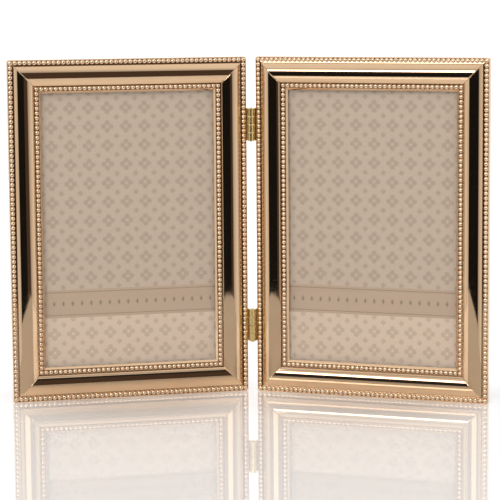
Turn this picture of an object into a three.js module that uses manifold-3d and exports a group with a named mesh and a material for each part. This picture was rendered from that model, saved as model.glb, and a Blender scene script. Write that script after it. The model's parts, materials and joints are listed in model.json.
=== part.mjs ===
// Double photo frame: two mitred metal frames that fold like a book on two small butt hinges.
// Millimetres, +Z up, the viewer stands on the -Y side. The origin is the centre of the base.
//
// Each frame is drawn in its own flat coordinates: x runs from the hinge side to the outer side,
// y is depth behind the crown of the moulding, and z is height above the base.
import * as THREE from 'three';
import { mergeVertices } from 'three/addons/utils/BufferGeometryUtils.js';
import Module from 'manifold-3d';

const wasm = await Module();
wasm.setup();

// Picture opening, and the print that reaches behind the lip on every side
const SIGHT_WIDTH = 89;
const SIGHT_HEIGHT = 139.7;
const PRINT_OVERLAP = 6.35;
const PRINT_CLEARANCE = 0.45;

// Widths of the moulding's bands, from the outer edge inwards
const RIM_WIDTH = 0.5;
const OUTER_CHANNEL_WIDTH = 2.7;
const CUSHION_WIDTH = 9.9;
const INNER_CHANNEL_WIDTH = 2.7;
const LIP_WIDTH = 1.2;

// Heights of those bands: the cushion's arch, the steps beside it and the lip
const CUSHION_RISE = 1.7;
const RIM_STEP = 0.1;
const OUTER_CHANNEL_DEPTH = 1;
const LIP_SETBACK = 1;
const INNER_CHANNEL_DEPTH = 0.6;
const LIP_THICKNESS = 1.2;

// Walls of the moulding, which is a channel open towards the picture
const WALL = 1.4;
const FLANGE_THICKNESS = 1;
const EDGE_LAND = 3.3;
const BACK_TAPER = 1.6;
const CORNER_RADIUS = 1;
const MITRE_GAP = 0.08;

// Beaded wires in the two channels
const BEAD_WIDTH = 2.2;
const BEAD_HEIGHT = 1.25;

// The pack behind the lip, from front to back, and the play between its layers
const GLASS_THICKNESS = 2;
const PRINT_THICKNESS = 0.4;
const BOARD_THICKNESS = 2;
const VELVET_THICKNESS = 0.6;
const LAYER_GAP = 0.2;

// Turn buttons that hold the pack in, one in the middle of each side
const BUTTON_THICKNESS = 0.8;
const BUTTON_REACH = 9;
const BUTTON_PIVOT_RADIUS = 3;
const BUTTON_TIP_RADIUS = 2.2;
const BUTTON_INSET = 6.2;
const RIVET_RADIUS = 1.1;
const RIVET_HEAD_RADIUS = 2;
const RIVET_HEAD_HEIGHT = 0.8;
const RIVET_TAIL_RADIUS = 1.8;
const RIVET_TAIL_HEIGHT = 0.5;
const RUNNING_GAP = 0.2;

// Corner keys inside the channel
const KEY_LEG = 18;
const KEY_WIDTH = 6;
const KEY_THICKNESS = 1.6;

// Hinges
const FOLD_ANGLE = 146;
const HINGE_HEIGHT = 16.8;
const HINGE_INSET = 34.8;
const KNUCKLE_COUNT = 4;
const KNUCKLE_RADIUS = 1.6;
const KNUCKLE_GAP = 0.2;
const KNUCKLE_CLEARANCE = 0.15;
const AXIS_LEAD = 0.3;
const PIN_RADIUS = 0.65;
const PIN_CLEARANCE = 0.15;
const PIN_HEAD_HEIGHT = 0.4;
const LEAF_THICKNESS = 0.7;
const LEAF_WIDTH = 6;
const LEAF_CORNER = 1;
const SEAT_GAP = 0.2;
const SCREW_SPACING = 10.4;
const SCREW_RADIUS = 0.7;
const SCREW_HEAD_RADIUS = 1.3;
const SCREW_HEAD_DEPTH = 0.5;
const SCREW_CLEARANCE = 0.12;
const SCREW_TIP = 1.2;

// Facets of round forms, and how far a cut runs past what it cuts
const CUSHION_STEPS = 7;
const BEAD_STEPS = 3;
const PLATE_STEPS = 5;
const ROUND_SIDES = 16;
const DOME_STEPS = 3;
const CUT_MARGIN = 2;

// Sizes that follow from those above
const FACE_WIDTH = RIM_WIDTH + OUTER_CHANNEL_WIDTH + CUSHION_WIDTH + INNER_CHANNEL_WIDTH + LIP_WIDTH;
const FRAME_WIDTH = SIGHT_WIDTH + 2 * FACE_WIDTH;
const FRAME_HEIGHT = SIGHT_HEIGHT + 2 * FACE_WIDTH;
const CUSHION_START = RIM_WIDTH + OUTER_CHANNEL_WIDTH;
const CUSHION_END = CUSHION_START + CUSHION_WIDTH;
const LIP_START = CUSHION_END + INNER_CHANNEL_WIDTH;
const PACK_EDGE = FACE_WIDTH - PRINT_OVERLAP;
const FLANGE_EDGE = PACK_EDGE - PRINT_CLEARANCE;

const RIM_DROP = CUSHION_RISE + RIM_STEP;
const OUTER_CHANNEL_DROP = CUSHION_RISE + OUTER_CHANNEL_DEPTH;
const LIP_DROP = RIM_DROP + LIP_SETBACK;
const INNER_CHANNEL_DROP = LIP_DROP + INNER_CHANNEL_DEPTH;
const LIP_BACK = LIP_DROP + LIP_THICKNESS;
const GLASS_FRONT = LIP_BACK + LAYER_GAP;
const PRINT_FRONT = GLASS_FRONT + GLASS_THICKNESS + LAYER_GAP;
const BOARD_FRONT = PRINT_FRONT + PRINT_THICKNESS + LAYER_GAP;
const VELVET_FRONT = BOARD_FRONT + BOARD_THICKNESS + LAYER_GAP;
const FRAME_DEPTH = VELVET_FRONT + VELVET_THICKNESS + LAYER_GAP;
const FLANGE_FRONT = FRAME_DEPTH - FLANGE_THICKNESS;
const LAND_END = RIM_DROP + EDGE_LAND;

const BUTTON_FRONT = FRAME_DEPTH + RUNNING_GAP;
const BUTTON_BACK = BUTTON_FRONT + BUTTON_THICKNESS;

const HINGE_SETBACK = KNUCKLE_RADIUS + KNUCKLE_CLEARANCE;
const HALF_TURN = THREE.MathUtils.degToRad((180 - FOLD_ANGLE) / 2);
const LEAF_INNER = -SEAT_GAP;
const LEAF_OUTER = LEAF_INNER - LEAF_THICKNESS;
const LEAF_FRONT = KNUCKLE_RADIUS + KNUCKLE_CLEARANCE - AXIS_LEAD;
const LEAF_BACK = LEAF_FRONT + LEAF_WIDTH;
const SCREW_DEPTH = (Math.max(LEAF_FRONT, LIP_BACK) + LEAF_BACK) / 2;
const HINGE_CENTRES = { lower: HINGE_INSET, upper: FRAME_HEIGHT - HINGE_INSET };

// Finishes
const finish = (color, metalness, roughness) => new THREE.MeshStandardMaterial({
  color, metalness, roughness, flatShading: true,
});
const GILT = finish('#d9b386', 1, 0.12);
const BRASS = finish('#b79f5c', 1, 0.3);
const STEEL = finish('#9b9a96', 1, 0.4);
const PAPER = finish('#c2ae99', 0, 0.8);
const BOARD = finish('#6d4c35', 0, 0.85);
const VELVET = finish('#1d1a1a', 0, 1);
const GLASS = finish('#eef3f1', 0, 0.05);
GLASS.transparent = true;
GLASS.opacity = 0.2;

// A closed geometry as a solid that can be joined and cut
function toSolid(geometry) {
  const bare = new THREE.BufferGeometry();
  bare.setAttribute('position', geometry.getAttribute('position'));
  bare.setIndex(geometry.getIndex());
  const merged = mergeVertices(bare, 1e-5);
  const index = merged.getIndex().array;
  const triangles = [];
  for (let i = 0; i < index.length; i += 3) {
    const [a, b, c] = [index[i], index[i + 1], index[i + 2]];
    if (a !== b && b !== c && c !== a) triangles.push(a, b, c);
  }
  return new wasm.Manifold(new wasm.Mesh({
    numProp: 3,
    vertProperties: new Float32Array(merged.getAttribute('position').array),
    triVerts: new Uint32Array(triangles),
  }));
}

function toGeometry(solid) {
  const { vertProperties, triVerts } = solid.getMesh();
  const geometry = new THREE.BufferGeometry();
  geometry.setAttribute('position', new THREE.BufferAttribute(vertProperties, 3));
  geometry.setIndex(new THREE.BufferAttribute(triVerts, 1));
  geometry.computeVertexNormals();
  return geometry;
}

function addPiece(group, name, geometry, material) {
  const piece = new THREE.Mesh(geometry, material);
  piece.name = name;
  group.add(piece);
  return piece;
}

// A section drawn as (depth, inward) and run along +X
const SECTION_TO_RUN = new THREE.Matrix4().makeBasis(
  new THREE.Vector3(0, 1, 0),
  new THREE.Vector3(0, 0, 1),
  new THREE.Vector3(1, 0, 0),
);
function runSection(section, length) {
  const options = { depth: length, bevelEnabled: false, curveSegments: CUSHION_STEPS };
  return new THREE.ExtrudeGeometry(section, options).applyMatrix4(SECTION_TO_RUN);
}

// A plate drawn as (x, z) in the frame's plane, between two depths
function standPlate(outline, front, back) {
  const options = { depth: back - front, bevelEnabled: false, curveSegments: PLATE_STEPS };
  return new THREE.ExtrudeGeometry(outline, options).rotateX(Math.PI / 2).translate(0, back, 0);
}

function block(x0, x1, y0, y1, z0, z1) {
  const box = new THREE.BoxGeometry(x1 - x0, y1 - y0, z1 - z0);
  return box.translate((x0 + x1) / 2, (y0 + y1) / 2, (z0 + z1) / 2);
}

// A turned piece from (radius, height) pairs, standing along +Y
function turned(points) {
  return new THREE.LatheGeometry(points.map(([r, h]) => new THREE.Vector2(r, h)), ROUND_SIDES);
}

// Section of the moulding: bead channel, arched cushion, bead channel and lip in front, and
// behind them a channel whose rear flange carries the turn buttons. The outer wall is square for
// the depth of the land, then leans in by the taper.
function mouldingSection(taper) {
  const half = CUSHION_WIDTH / 2;
  const radius = (half * half + CUSHION_RISE * CUSHION_RISE) / (2 * CUSHION_RISE);
  const sweep = Math.asin(half / radius);
  const section = new THREE.Shape();
  section.moveTo(RIM_DROP, 0);
  section.lineTo(RIM_DROP, RIM_WIDTH);
  section.lineTo(OUTER_CHANNEL_DROP, RIM_WIDTH);
  section.lineTo(OUTER_CHANNEL_DROP, CUSHION_START);
  section.absarc(radius, CUSHION_START + half, radius, Math.PI + sweep, Math.PI - sweep, true);
  section.lineTo(INNER_CHANNEL_DROP, CUSHION_END);
  section.lineTo(INNER_CHANNEL_DROP, LIP_START);
  section.lineTo(LIP_DROP, LIP_START);
  section.lineTo(LIP_DROP, FACE_WIDTH);
  section.lineTo(LIP_BACK, FACE_WIDTH);
  section.lineTo(LIP_BACK, WALL);
  section.lineTo(LAND_END, WALL);
  section.lineTo(FLANGE_FRONT, WALL + taper);
  section.lineTo(FLANGE_FRONT, FLANGE_EDGE);
  section.lineTo(FRAME_DEPTH, FLANGE_EDGE);
  section.lineTo(FRAME_DEPTH, taper);
  section.lineTo(LAND_END, 0);
  section.closePath();
  return section;
}

// Rounded-top section of a beaded wire, lying on a channel's floor
function beadSection(centre, floor) {
  const half = BEAD_WIDTH / 2;
  const base = floor - SEAT_GAP;
  const shoulder = base - BEAD_HEIGHT + half;
  const section = new THREE.Shape();
  section.moveTo(base, centre + half);
  section.lineTo(base, centre - half);
  section.absarc(shoulder, centre, half, 1.5 * Math.PI, 0.5 * Math.PI, true);
  section.closePath();
  return section;
}

// Trapezium between the two mitres of a side, with the frame's corners rounded
function mitreOutline(length) {
  const shift = MITRE_GAP * Math.SQRT1_2;
  const reach = FACE_WIDTH + CUT_MARGIN;
  const near = CORNER_RADIUS + shift;
  const outline = new THREE.Shape();
  outline.moveTo(length - reach - shift, reach);
  outline.lineTo(reach + shift, reach);
  outline.absarc(near, CORNER_RADIUS, CORNER_RADIUS, 1.25 * Math.PI, 1.5 * Math.PI, false);
  outline.absarc(length - near, CORNER_RADIUS, CORNER_RADIUS, 1.5 * Math.PI, 1.75 * Math.PI, false);
  outline.closePath();
  return outline;
}

function mitredRun(section, length) {
  const blade = standPlate(mitreOutline(length), -CUT_MARGIN, FRAME_DEPTH + CUT_MARGIN);
  return toSolid(runSection(section, length)).intersect(toSolid(blade));
}

// The four sides of a frame, each a run that starts at a corner and turns inwards
const SIDES = {
  bottom: { piece: 'bottom_rail', length: FRAME_WIDTH, corner: [0, 0], turn: 0 },
  outer: { piece: 'outer_stile', length: FRAME_HEIGHT, corner: [FRAME_WIDTH, 0], turn: -Math.PI / 2 },
  top: { piece: 'top_rail', length: FRAME_WIDTH, corner: [FRAME_WIDTH, FRAME_HEIGHT], turn: Math.PI },
  hinge: { piece: 'hinge_stile', length: FRAME_HEIGHT, corner: [0, FRAME_HEIGHT], turn: Math.PI / 2 },
};

function placeRun(object, side) {
  object.position.set(side.corner[0], 0, side.corner[1]);
  object.rotation.y = side.turn;
  return object;
}

function screwHeights() {
  return Object.values(HINGE_CENTRES).flatMap((z) => [z - SCREW_SPACING / 2, z + SCREW_SPACING / 2]);
}

// Hole along the inward direction through the hinge stile's wall
function wallHole(along, depth, radius) {
  const reach = WALL + CUT_MARGIN;
  return turned([[0, -CUT_MARGIN], [radius, -CUT_MARGIN], [radius, reach], [0, reach]])
    .rotateX(Math.PI / 2)
    .translate(along, depth, 0);
}

// The wedge that carries a neighbour's taper across the end of the hinge stile
function endWedge() {
  const reach = FACE_WIDTH + CUT_MARGIN;
  const wedge = new THREE.Shape();
  wedge.moveTo(0, LAND_END);
  wedge.lineTo(BACK_TAPER, FRAME_DEPTH);
  wedge.lineTo(BACK_TAPER, FRAME_DEPTH + CUT_MARGIN);
  wedge.lineTo(-CUT_MARGIN, FRAME_DEPTH + CUT_MARGIN);
  wedge.lineTo(-CUT_MARGIN, LAND_END);
  wedge.closePath();
  const options = { depth: 2 * reach, bevelEnabled: false };
  return new THREE.ExtrudeGeometry(wedge, options).translate(0, 0, -reach);
}

function rail(sideName) {
  const side = SIDES[sideName];
  const square = sideName === 'hinge';
  const section = mouldingSection(square ? 0 : BACK_TAPER);
  const rivetHole = turned([
    [0, LIP_BACK + LAYER_GAP],
    [RIVET_RADIUS + RUNNING_GAP, LIP_BACK + LAYER_GAP],
    [RIVET_RADIUS + RUNNING_GAP, FRAME_DEPTH + CUT_MARGIN],
    [0, FRAME_DEPTH + CUT_MARGIN],
  ]).translate(side.length / 2, 0, BUTTON_INSET);
  let solid = mitredRun(section, side.length).subtract(toSolid(rivetHole));
  if (!square) return toGeometry(solid);

  const farWedge = endWedge().rotateY(Math.PI).translate(side.length, 0, 0);
  solid = solid.subtract(toSolid(endWedge())).subtract(toSolid(farWedge));
  for (const z of screwHeights()) {
    const hole = wallHole(side.length - z, SCREW_DEPTH, SCREW_RADIUS + SCREW_CLEARANCE);
    solid = solid.subtract(toSolid(hole));
  }
  return toGeometry(solid);
}

// A beaded wire is one closed loop: its section, carried round the four mitred corners
function beadLoop(centre, floor) {
  const points = beadSection(centre, floor).getPoints(BEAD_STEPS).slice(0, -1);
  const positions = [];
  for (const { x: depth, y: inset } of points) {
    const [right, top] = [FRAME_WIDTH - inset, FRAME_HEIGHT - inset];
    positions.push(inset, depth, inset, right, depth, inset, right, depth, top, inset, depth, top);
  }
  const index = [];
  points.forEach((point, i) => {
    const here = 4 * i;
    const next = 4 * ((i + 1) % points.length);
    for (let corner = 0; corner < 4; corner += 1) {
      const following = (corner + 1) % 4;
      index.push(here + corner, here + following, next + following);
      index.push(here + corner, next + following, next + corner);
    }
  });
  const geometry = new THREE.BufferGeometry();
  geometry.setAttribute('position', new THREE.Float32BufferAttribute(positions, 3));
  geometry.setIndex(index);
  geometry.computeVertexNormals();
  return geometry;
}

function packLayer(front, thickness) {
  return block(PACK_EDGE, FRAME_WIDTH - PACK_EDGE, front, front + thickness, PACK_EDGE, FRAME_HEIGHT - PACK_EDGE);
}

// Turn button, drawn with its pivot at the origin and its tongue pointing inwards
function turnButton() {
  const lean = Math.asin((BUTTON_PIVOT_RADIUS - BUTTON_TIP_RADIUS) / BUTTON_REACH);
  const outline = new THREE.Shape();
  outline.absarc(0, 0, BUTTON_PIVOT_RADIUS, Math.PI - lean, 2 * Math.PI + lean, false);
  outline.absarc(0, BUTTON_REACH, BUTTON_TIP_RADIUS, lean, Math.PI - lean, false);
  outline.closePath();
  const hole = new THREE.Path();
  hole.absarc(0, 0, RIVET_RADIUS + RUNNING_GAP, 0, 2 * Math.PI, false);
  outline.holes.push(hole);
  return standPlate(outline, BUTTON_FRONT, BUTTON_BACK);
}

// Rivet from its spread tail inside the channel to its domed head behind the button
function rivet() {
  const tailBack = FLANGE_FRONT - RUNNING_GAP;
  const tailFront = tailBack - RIVET_TAIL_HEIGHT;
  const headFront = BUTTON_BACK + RUNNING_GAP;
  const points = [
    [0, tailFront],
    [RIVET_TAIL_RADIUS, tailFront],
    [RIVET_TAIL_RADIUS, tailBack],
    [RIVET_RADIUS, tailBack],
    [RIVET_RADIUS, headFront],
  ];
  for (let i = 0; i < DOME_STEPS; i += 1) {
    const angle = (i / DOME_STEPS) * (Math.PI / 2);
    points.push([RIVET_HEAD_RADIUS * Math.cos(angle), headFront + RIVET_HEAD_HEIGHT * Math.sin(angle)]);
  }
  points.push([0, headFront + RIVET_HEAD_HEIGHT]);
  return turned(points);
}

// Corner key: an L-shaped plate that lies against the flange across one mitre
function cornerKey() {
  const start = WALL + BACK_TAPER + SEAT_GAP;
  const outline = new THREE.Shape();
  outline.moveTo(start, start);
  outline.lineTo(start + KEY_LEG, start);
  outline.lineTo(start + KEY_LEG, start + KEY_WIDTH);
  outline.lineTo(start + KEY_WIDTH, start + KEY_WIDTH);
  outline.lineTo(start + KEY_WIDTH, start + KEY_LEG);
  outline.lineTo(start, start + KEY_LEG);
  outline.closePath();
  const back = FLANGE_FRONT - SEAT_GAP;
  return standPlate(outline, back - KEY_THICKNESS, back);
}

// Countersunk screw along the inward direction, with its head flush in the leaf
function screwProfile(spread) {
  const length = LEAF_THICKNESS + SEAT_GAP + WALL + SCREW_TIP;
  return [
    [SCREW_HEAD_RADIUS + spread, 0],
    [SCREW_RADIUS + spread, SCREW_HEAD_DEPTH],
    [SCREW_RADIUS + spread, length - SCREW_RADIUS],
    [0, length],
  ];
}

function hingeScrew() {
  return turned([[0, 0], ...screwProfile(0)]).rotateZ(-Math.PI / 2);
}

function countersunkHole() {
  const mouth = SCREW_HEAD_RADIUS + SCREW_CLEARANCE;
  const points = [[0, -CUT_MARGIN], [mouth, -CUT_MARGIN], ...screwProfile(SCREW_CLEARANCE)];
  return turned(points).rotateZ(-Math.PI / 2);
}

// Barrel stretches of one leaf: every second knuckle, counted from the bottom
function knuckleSpans(first) {
  const pitch = HINGE_HEIGHT / KNUCKLE_COUNT;
  const spans = [];
  for (let i = first; i < KNUCKLE_COUNT; i += 2) {
    const low = -HINGE_HEIGHT / 2 + i * pitch;
    spans.push([low + KNUCKLE_GAP / 2, low + pitch - KNUCKLE_GAP / 2]);
  }
  return spans;
}

function upright(radius, low, high) {
  const post = new THREE.CylinderGeometry(radius, radius, high - low, ROUND_SIDES);
  return post.rotateX(Math.PI / 2).translate(-HINGE_SETBACK, -AXIS_LEAD, (low + high) / 2);
}

// Leaf on the hinge stile's wall, with its knuckles, drawn about the hinge's mid height
function hingeLeaf(firstKnuckle) {
  const outline = new THREE.Shape();
  const halfHeight = HINGE_HEIGHT / 2;
  outline.moveTo(LEAF_FRONT, -halfHeight);
  outline.lineTo(LEAF_BACK - LEAF_CORNER, -halfHeight);
  outline.absarc(LEAF_BACK - LEAF_CORNER, LEAF_CORNER - halfHeight, LEAF_CORNER, -Math.PI / 2, 0, false);
  outline.absarc(LEAF_BACK - LEAF_CORNER, halfHeight - LEAF_CORNER, LEAF_CORNER, 0, Math.PI / 2, false);
  outline.lineTo(LEAF_FRONT, halfHeight);
  outline.closePath();
  const options = { depth: LEAF_THICKNESS, bevelEnabled: false, curveSegments: PLATE_STEPS };
  const plate = new THREE.ExtrudeGeometry(outline, options);
  let leaf = toSolid(plate.applyMatrix4(SECTION_TO_RUN).translate(LEAF_OUTER, 0, 0));
  for (const [low, high] of knuckleSpans(firstKnuckle)) {
    const web = block(LEAF_OUTER, LEAF_INNER, -AXIS_LEAD, LEAF_FRONT + LEAF_THICKNESS, low, high);
    leaf = leaf.add(toSolid(web)).add(toSolid(upright(KNUCKLE_RADIUS, low, high)));
  }
  leaf = leaf.subtract(toSolid(upright(PIN_RADIUS + PIN_CLEARANCE, -HINGE_HEIGHT, HINGE_HEIGHT)));
  for (const z of [-SCREW_SPACING / 2, SCREW_SPACING / 2]) {
    leaf = leaf.subtract(toSolid(countersunkHole().translate(LEAF_OUTER, SCREW_DEPTH, z)));
  }
  return toGeometry(leaf);
}

// Hinge pin, peened over at both ends
function hingePin() {
  const half = HINGE_HEIGHT / 2;
  const head = PIN_RADIUS + 2 * PIN_CLEARANCE;
  return turned([
    [0, -half - PIN_HEAD_HEIGHT],
    [PIN_RADIUS, -half - PIN_HEAD_HEIGHT],
    [head, -half - KNUCKLE_GAP],
    [PIN_RADIUS, -half],
    [PIN_RADIUS, half],
    [head, half + KNUCKLE_GAP],
    [PIN_RADIUS, half + PIN_HEAD_HEIGHT],
    [0, half + PIN_HEAD_HEIGHT],
  ]).rotateX(Math.PI / 2);
}

// One frame with everything that it carries, in its own flat coordinates
function buildFrame(hand, firstKnuckle) {
  const frame = new THREE.Group();
  frame.position.set(HINGE_SETBACK, AXIS_LEAD, 0);

  for (const [sideName, side] of Object.entries(SIDES)) {
    const run = placeRun(new THREE.Group(), side);
    addPiece(run, `${hand}_${side.piece}`, rail(sideName), GILT);
    const button = addPiece(run, `${hand}_${sideName}_turn_button`, turnButton(), BRASS);
    const pivot = addPiece(run, `${hand}_${sideName}_rivet`, rivet(), BRASS);
    button.position.set(side.length / 2, 0, BUTTON_INSET);
    pivot.position.copy(button.position);
    frame.add(run);
  }

  const outerCentre = RIM_WIDTH + OUTER_CHANNEL_WIDTH / 2;
  const innerCentre = CUSHION_END + INNER_CHANNEL_WIDTH / 2;
  addPiece(frame, `${hand}_outer_bead`, beadLoop(outerCentre, OUTER_CHANNEL_DROP), GILT);
  addPiece(frame, `${hand}_inner_bead`, beadLoop(innerCentre, INNER_CHANNEL_DROP), GILT);

  addPiece(frame, `${hand}_glass`, packLayer(GLASS_FRONT, GLASS_THICKNESS), GLASS);
  addPiece(frame, `${hand}_print`, packLayer(PRINT_FRONT, PRINT_THICKNESS), PAPER);
  addPiece(frame, `${hand}_backing_board`, packLayer(BOARD_FRONT, BOARD_THICKNESS), BOARD);
  addPiece(frame, `${hand}_velvet_cover`, packLayer(VELVET_FRONT, VELVET_THICKNESS), VELVET);

  const keyNames = ['bottom_hinge', 'bottom_outer', 'top_outer', 'top_hinge'];
  Object.values(SIDES).forEach((side, i) => {
    placeRun(addPiece(frame, `${hand}_${keyNames[i]}_key`, cornerKey(), STEEL), side);
  });

  for (const [level, z] of Object.entries(HINGE_CENTRES)) {
    const leaf = addPiece(frame, `${hand}_${level}_hinge_leaf`, hingeLeaf(firstKnuckle), BRASS);
    leaf.position.z = z;
    [-SCREW_SPACING / 2, SCREW_SPACING / 2].forEach((dz, i) => {
      const name = `${hand}_${level}_hinge_screw_${i + 1}`;
      addPiece(frame, name, hingeScrew(), BRASS).position.set(LEAF_OUTER, SCREW_DEPTH, z + dz);
    });
  }
  return frame;
}

// Both frames about the hinge line, each turned towards the viewer by half of the fold
const RIGHT_FIRST_KNUCKLE = 0;
const LEFT_FIRST_KNUCKLE = 1;
const folded = new THREE.Group();

const rightHalf = new THREE.Group();
rightHalf.add(buildFrame('right', RIGHT_FIRST_KNUCKLE));
rightHalf.rotation.z = -HALF_TURN;
folded.add(rightHalf);

const leftHalf = new THREE.Group();
leftHalf.add(buildFrame('left', LEFT_FIRST_KNUCKLE));
leftHalf.scale.x = -1;
leftHalf.rotation.z = HALF_TURN;
folded.add(leftHalf);

for (const [level, z] of Object.entries(HINGE_CENTRES)) {
  addPiece(folded, `${level}_hinge_pin`, hingePin(), BRASS).position.z = z;
}

// Stand the pair on its base, centred on the origin
const doubleFrame = new THREE.Group();
doubleFrame.add(folded);
doubleFrame.updateMatrixWorld(true);
const extent = new THREE.Box3().setFromObject(folded, true);
folded.position.set(-(extent.min.x + extent.max.x) / 2, -(extent.min.y + extent.max.y) / 2, -extent.min.z);

export default doubleFrame;
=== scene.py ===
# %% [markdown]
# # A double photo frame, dressed for its portrait
#
# Two gold plated frames stand open like a book on two small brass hinges. The solids give every
# piece its size, its place and its joint. This lesson makes the fine surfaces around them: a
# moulding with soft edges, single beads on their wires, rolled hinge knuckles, glass, a printed
# sheet and a velvet back. Every new piece is drawn where its solid is and rides on the same body.

# %% Load the solids
import json
import math

import bmesh
import bpy
from mathutils import Matrix, Vector


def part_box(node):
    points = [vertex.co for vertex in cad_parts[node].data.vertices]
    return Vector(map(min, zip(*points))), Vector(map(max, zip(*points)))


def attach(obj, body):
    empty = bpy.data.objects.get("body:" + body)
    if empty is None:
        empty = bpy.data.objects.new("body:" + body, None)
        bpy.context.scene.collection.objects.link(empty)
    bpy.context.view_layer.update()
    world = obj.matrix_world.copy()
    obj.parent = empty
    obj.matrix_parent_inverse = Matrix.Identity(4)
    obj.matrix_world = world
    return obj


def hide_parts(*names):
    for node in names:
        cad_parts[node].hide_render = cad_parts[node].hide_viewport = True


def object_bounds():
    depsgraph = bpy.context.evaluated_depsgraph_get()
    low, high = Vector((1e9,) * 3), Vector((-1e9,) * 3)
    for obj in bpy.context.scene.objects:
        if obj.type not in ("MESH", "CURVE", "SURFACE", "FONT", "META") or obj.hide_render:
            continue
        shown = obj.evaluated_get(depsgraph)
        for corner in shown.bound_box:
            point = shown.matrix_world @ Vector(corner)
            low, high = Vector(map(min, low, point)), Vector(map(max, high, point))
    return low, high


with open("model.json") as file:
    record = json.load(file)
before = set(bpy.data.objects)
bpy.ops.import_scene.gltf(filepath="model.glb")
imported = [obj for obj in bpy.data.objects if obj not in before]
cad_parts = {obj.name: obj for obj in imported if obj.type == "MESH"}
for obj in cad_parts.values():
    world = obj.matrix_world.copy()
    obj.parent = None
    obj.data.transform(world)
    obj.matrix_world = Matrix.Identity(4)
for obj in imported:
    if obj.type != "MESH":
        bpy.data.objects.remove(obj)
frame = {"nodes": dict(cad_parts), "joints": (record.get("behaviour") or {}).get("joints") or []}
cad_low, cad_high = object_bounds()
print("solids", len(frame["nodes"]), "box", tuple(cad_low), tuple(cad_high))

# %% [markdown]
# ## Flat coordinates
#
# Each frame is turned a little about the hinge line, so drawing in world coordinates would be
# clumsy. Instead every piece is drawn flat: x runs from the hinge side to the outer side, y is the
# depth behind the crown of the moulding and z is the height, all in millimetres. One matrix for
# each hand stands the flat drawing up. The turn and the offsets come from the loaded frame itself:
# the axis of a turn button is the depth direction, and the hinge stile shows where x and y start.

# %% Stand a flat drawing up
MM = 0.001
HANDS = {"left": -1, "right": 1}
joints = {joint["name"]: joint for joint in frame["joints"]}
hinge_line = Vector(joints["fold"]["pos_m"])
hinge_line.z = 0.0
depth_axis = Vector(joints["right_bottom_button_turn"]["axis"])
HALF_TURN = math.atan2(depth_axis.x, depth_axis.y)


def turned_frame(sign):
    """Matrix that turns one hand's drawing about the hinge line."""
    return Matrix.Translation(hinge_line) @ Matrix.Rotation(-sign * HALF_TURN, 4, "Z")


def node_points(name, matrix):
    """Corners of a solid in the drawing that this matrix stands up, in metres."""
    inverse = matrix.inverted()
    return [inverse @ vertex.co for vertex in frame["nodes"][name].data.vertices]


stile_points = node_points("right_hinge_stile", turned_frame(1))
HINGE_SETBACK = min(point.x for point in stile_points)
AXIS_LEAD = min(point.y for point in stile_points)


def upright(sign):
    """Matrix from one hand's flat drawing to the world."""
    return turned_frame(sign) @ Matrix.Translation((sign * HINGE_SETBACK, AXIS_LEAD, 0))


def flat_box(name):
    """Lowest and highest corner of a right hand solid in flat millimetres."""
    points = node_points(name, upright(1))
    low = Vector([min(point[i] for point in points) for i in range(3)]) / MM
    high = Vector([max(point[i] for point in points) for i in range(3)]) / MM
    return low, high


FRAME_WIDTH = flat_box("right_outer_stile")[1].x
FRAME_HEIGHT = flat_box("right_top_rail")[1].z
print("half turn", round(math.degrees(HALF_TURN), 2), "deg")
print("one frame", FRAME_WIDTH, "x", FRAME_HEIGHT, "mm")

# %% [markdown]
# ## The camera
#
# The picture was taken through a long lens from about a metre away, a little above the frames and
# a little to the right of the hinge. Place, turn and lens were found by matching the straight
# edges of both frames, so they are fixed here before any surface is made.

# %% Camera
CAMERA_PLACE = Vector((60.9, -1124.6, 214.4)) * MM
CAMERA_TURN = math.radians(3.115)
CAMERA_TILT = math.radians(7.027)
CAMERA_ROLL = math.radians(-0.434)
SENSOR = 36.0
LENS = 159.84

camera = bpy.data.objects.new("camera", bpy.data.cameras.new("camera"))
camera.data.sensor_width = SENSOR
camera.data.lens = LENS
level_turn = Matrix.Rotation(CAMERA_TURN, 4, "Z") @ Matrix.Rotation(math.pi / 2 - CAMERA_TILT, 4, "X")
camera.matrix_world = Matrix.Translation(CAMERA_PLACE) @ level_turn @ Matrix.Rotation(CAMERA_ROLL, 4, "Z")
bpy.context.scene.collection.objects.link(camera)
bpy.context.scene.camera = camera
print("camera at", tuple(round(value, 3) for value in camera.location))

# %% [markdown]
# ## Tools for finishes
#
# Two small helpers are enough for every material. One turns a colour as a painter writes it (sRGB
# hex) into the linear light that the renderer works in. The other adds a node, sets what it is
# told to set and joins its inputs, so that each finish below reads as a list of steps.

# %% Finish helpers
# The Mix node has one set of sockets for each kind of value; these are its colour sockets.
MIX_A, MIX_B, MIX_RESULT = 6, 7, 2


def linear(hex_colour):
    """Linear RGBA from a colour written as #rrggbb."""
    channels = [int(hex_colour[i:i + 2], 16) / 255 for i in (1, 3, 5)]
    bent = [c / 12.92 if c <= 0.04045 else ((c + 0.055) / 1.055) ** 2.4 for c in channels]
    return (*bent, 1.0)


def add(tree, kind, settings=None, links=None):
    """A new node: settings go to its properties or inputs, links to its inputs."""
    node = tree.nodes.new(kind)
    for key, value in (settings or {}).items():
        if isinstance(key, str) and hasattr(node, key):
            setattr(node, key, value)
        else:
            node.inputs[key].default_value = value
    for key, source in (links or {}).items():
        tree.links.new(source, node.inputs[key])
    return node


def finish(name, shader_settings):
    """A material with one Principled shader, and the tree, shader and place socket to build on."""
    material = bpy.data.materials.new(name)
    material.use_nodes = True
    tree = material.node_tree
    shader = tree.nodes["Principled BSDF"]
    for key, value in shader_settings.items():
        shader.inputs[key].default_value = value
    place = add(tree, "ShaderNodeTexCoord").outputs["Object"]
    return material, tree, shader, place


print("middle grey is", round(linear("#808080")[0], 3), "in linear light")

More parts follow.
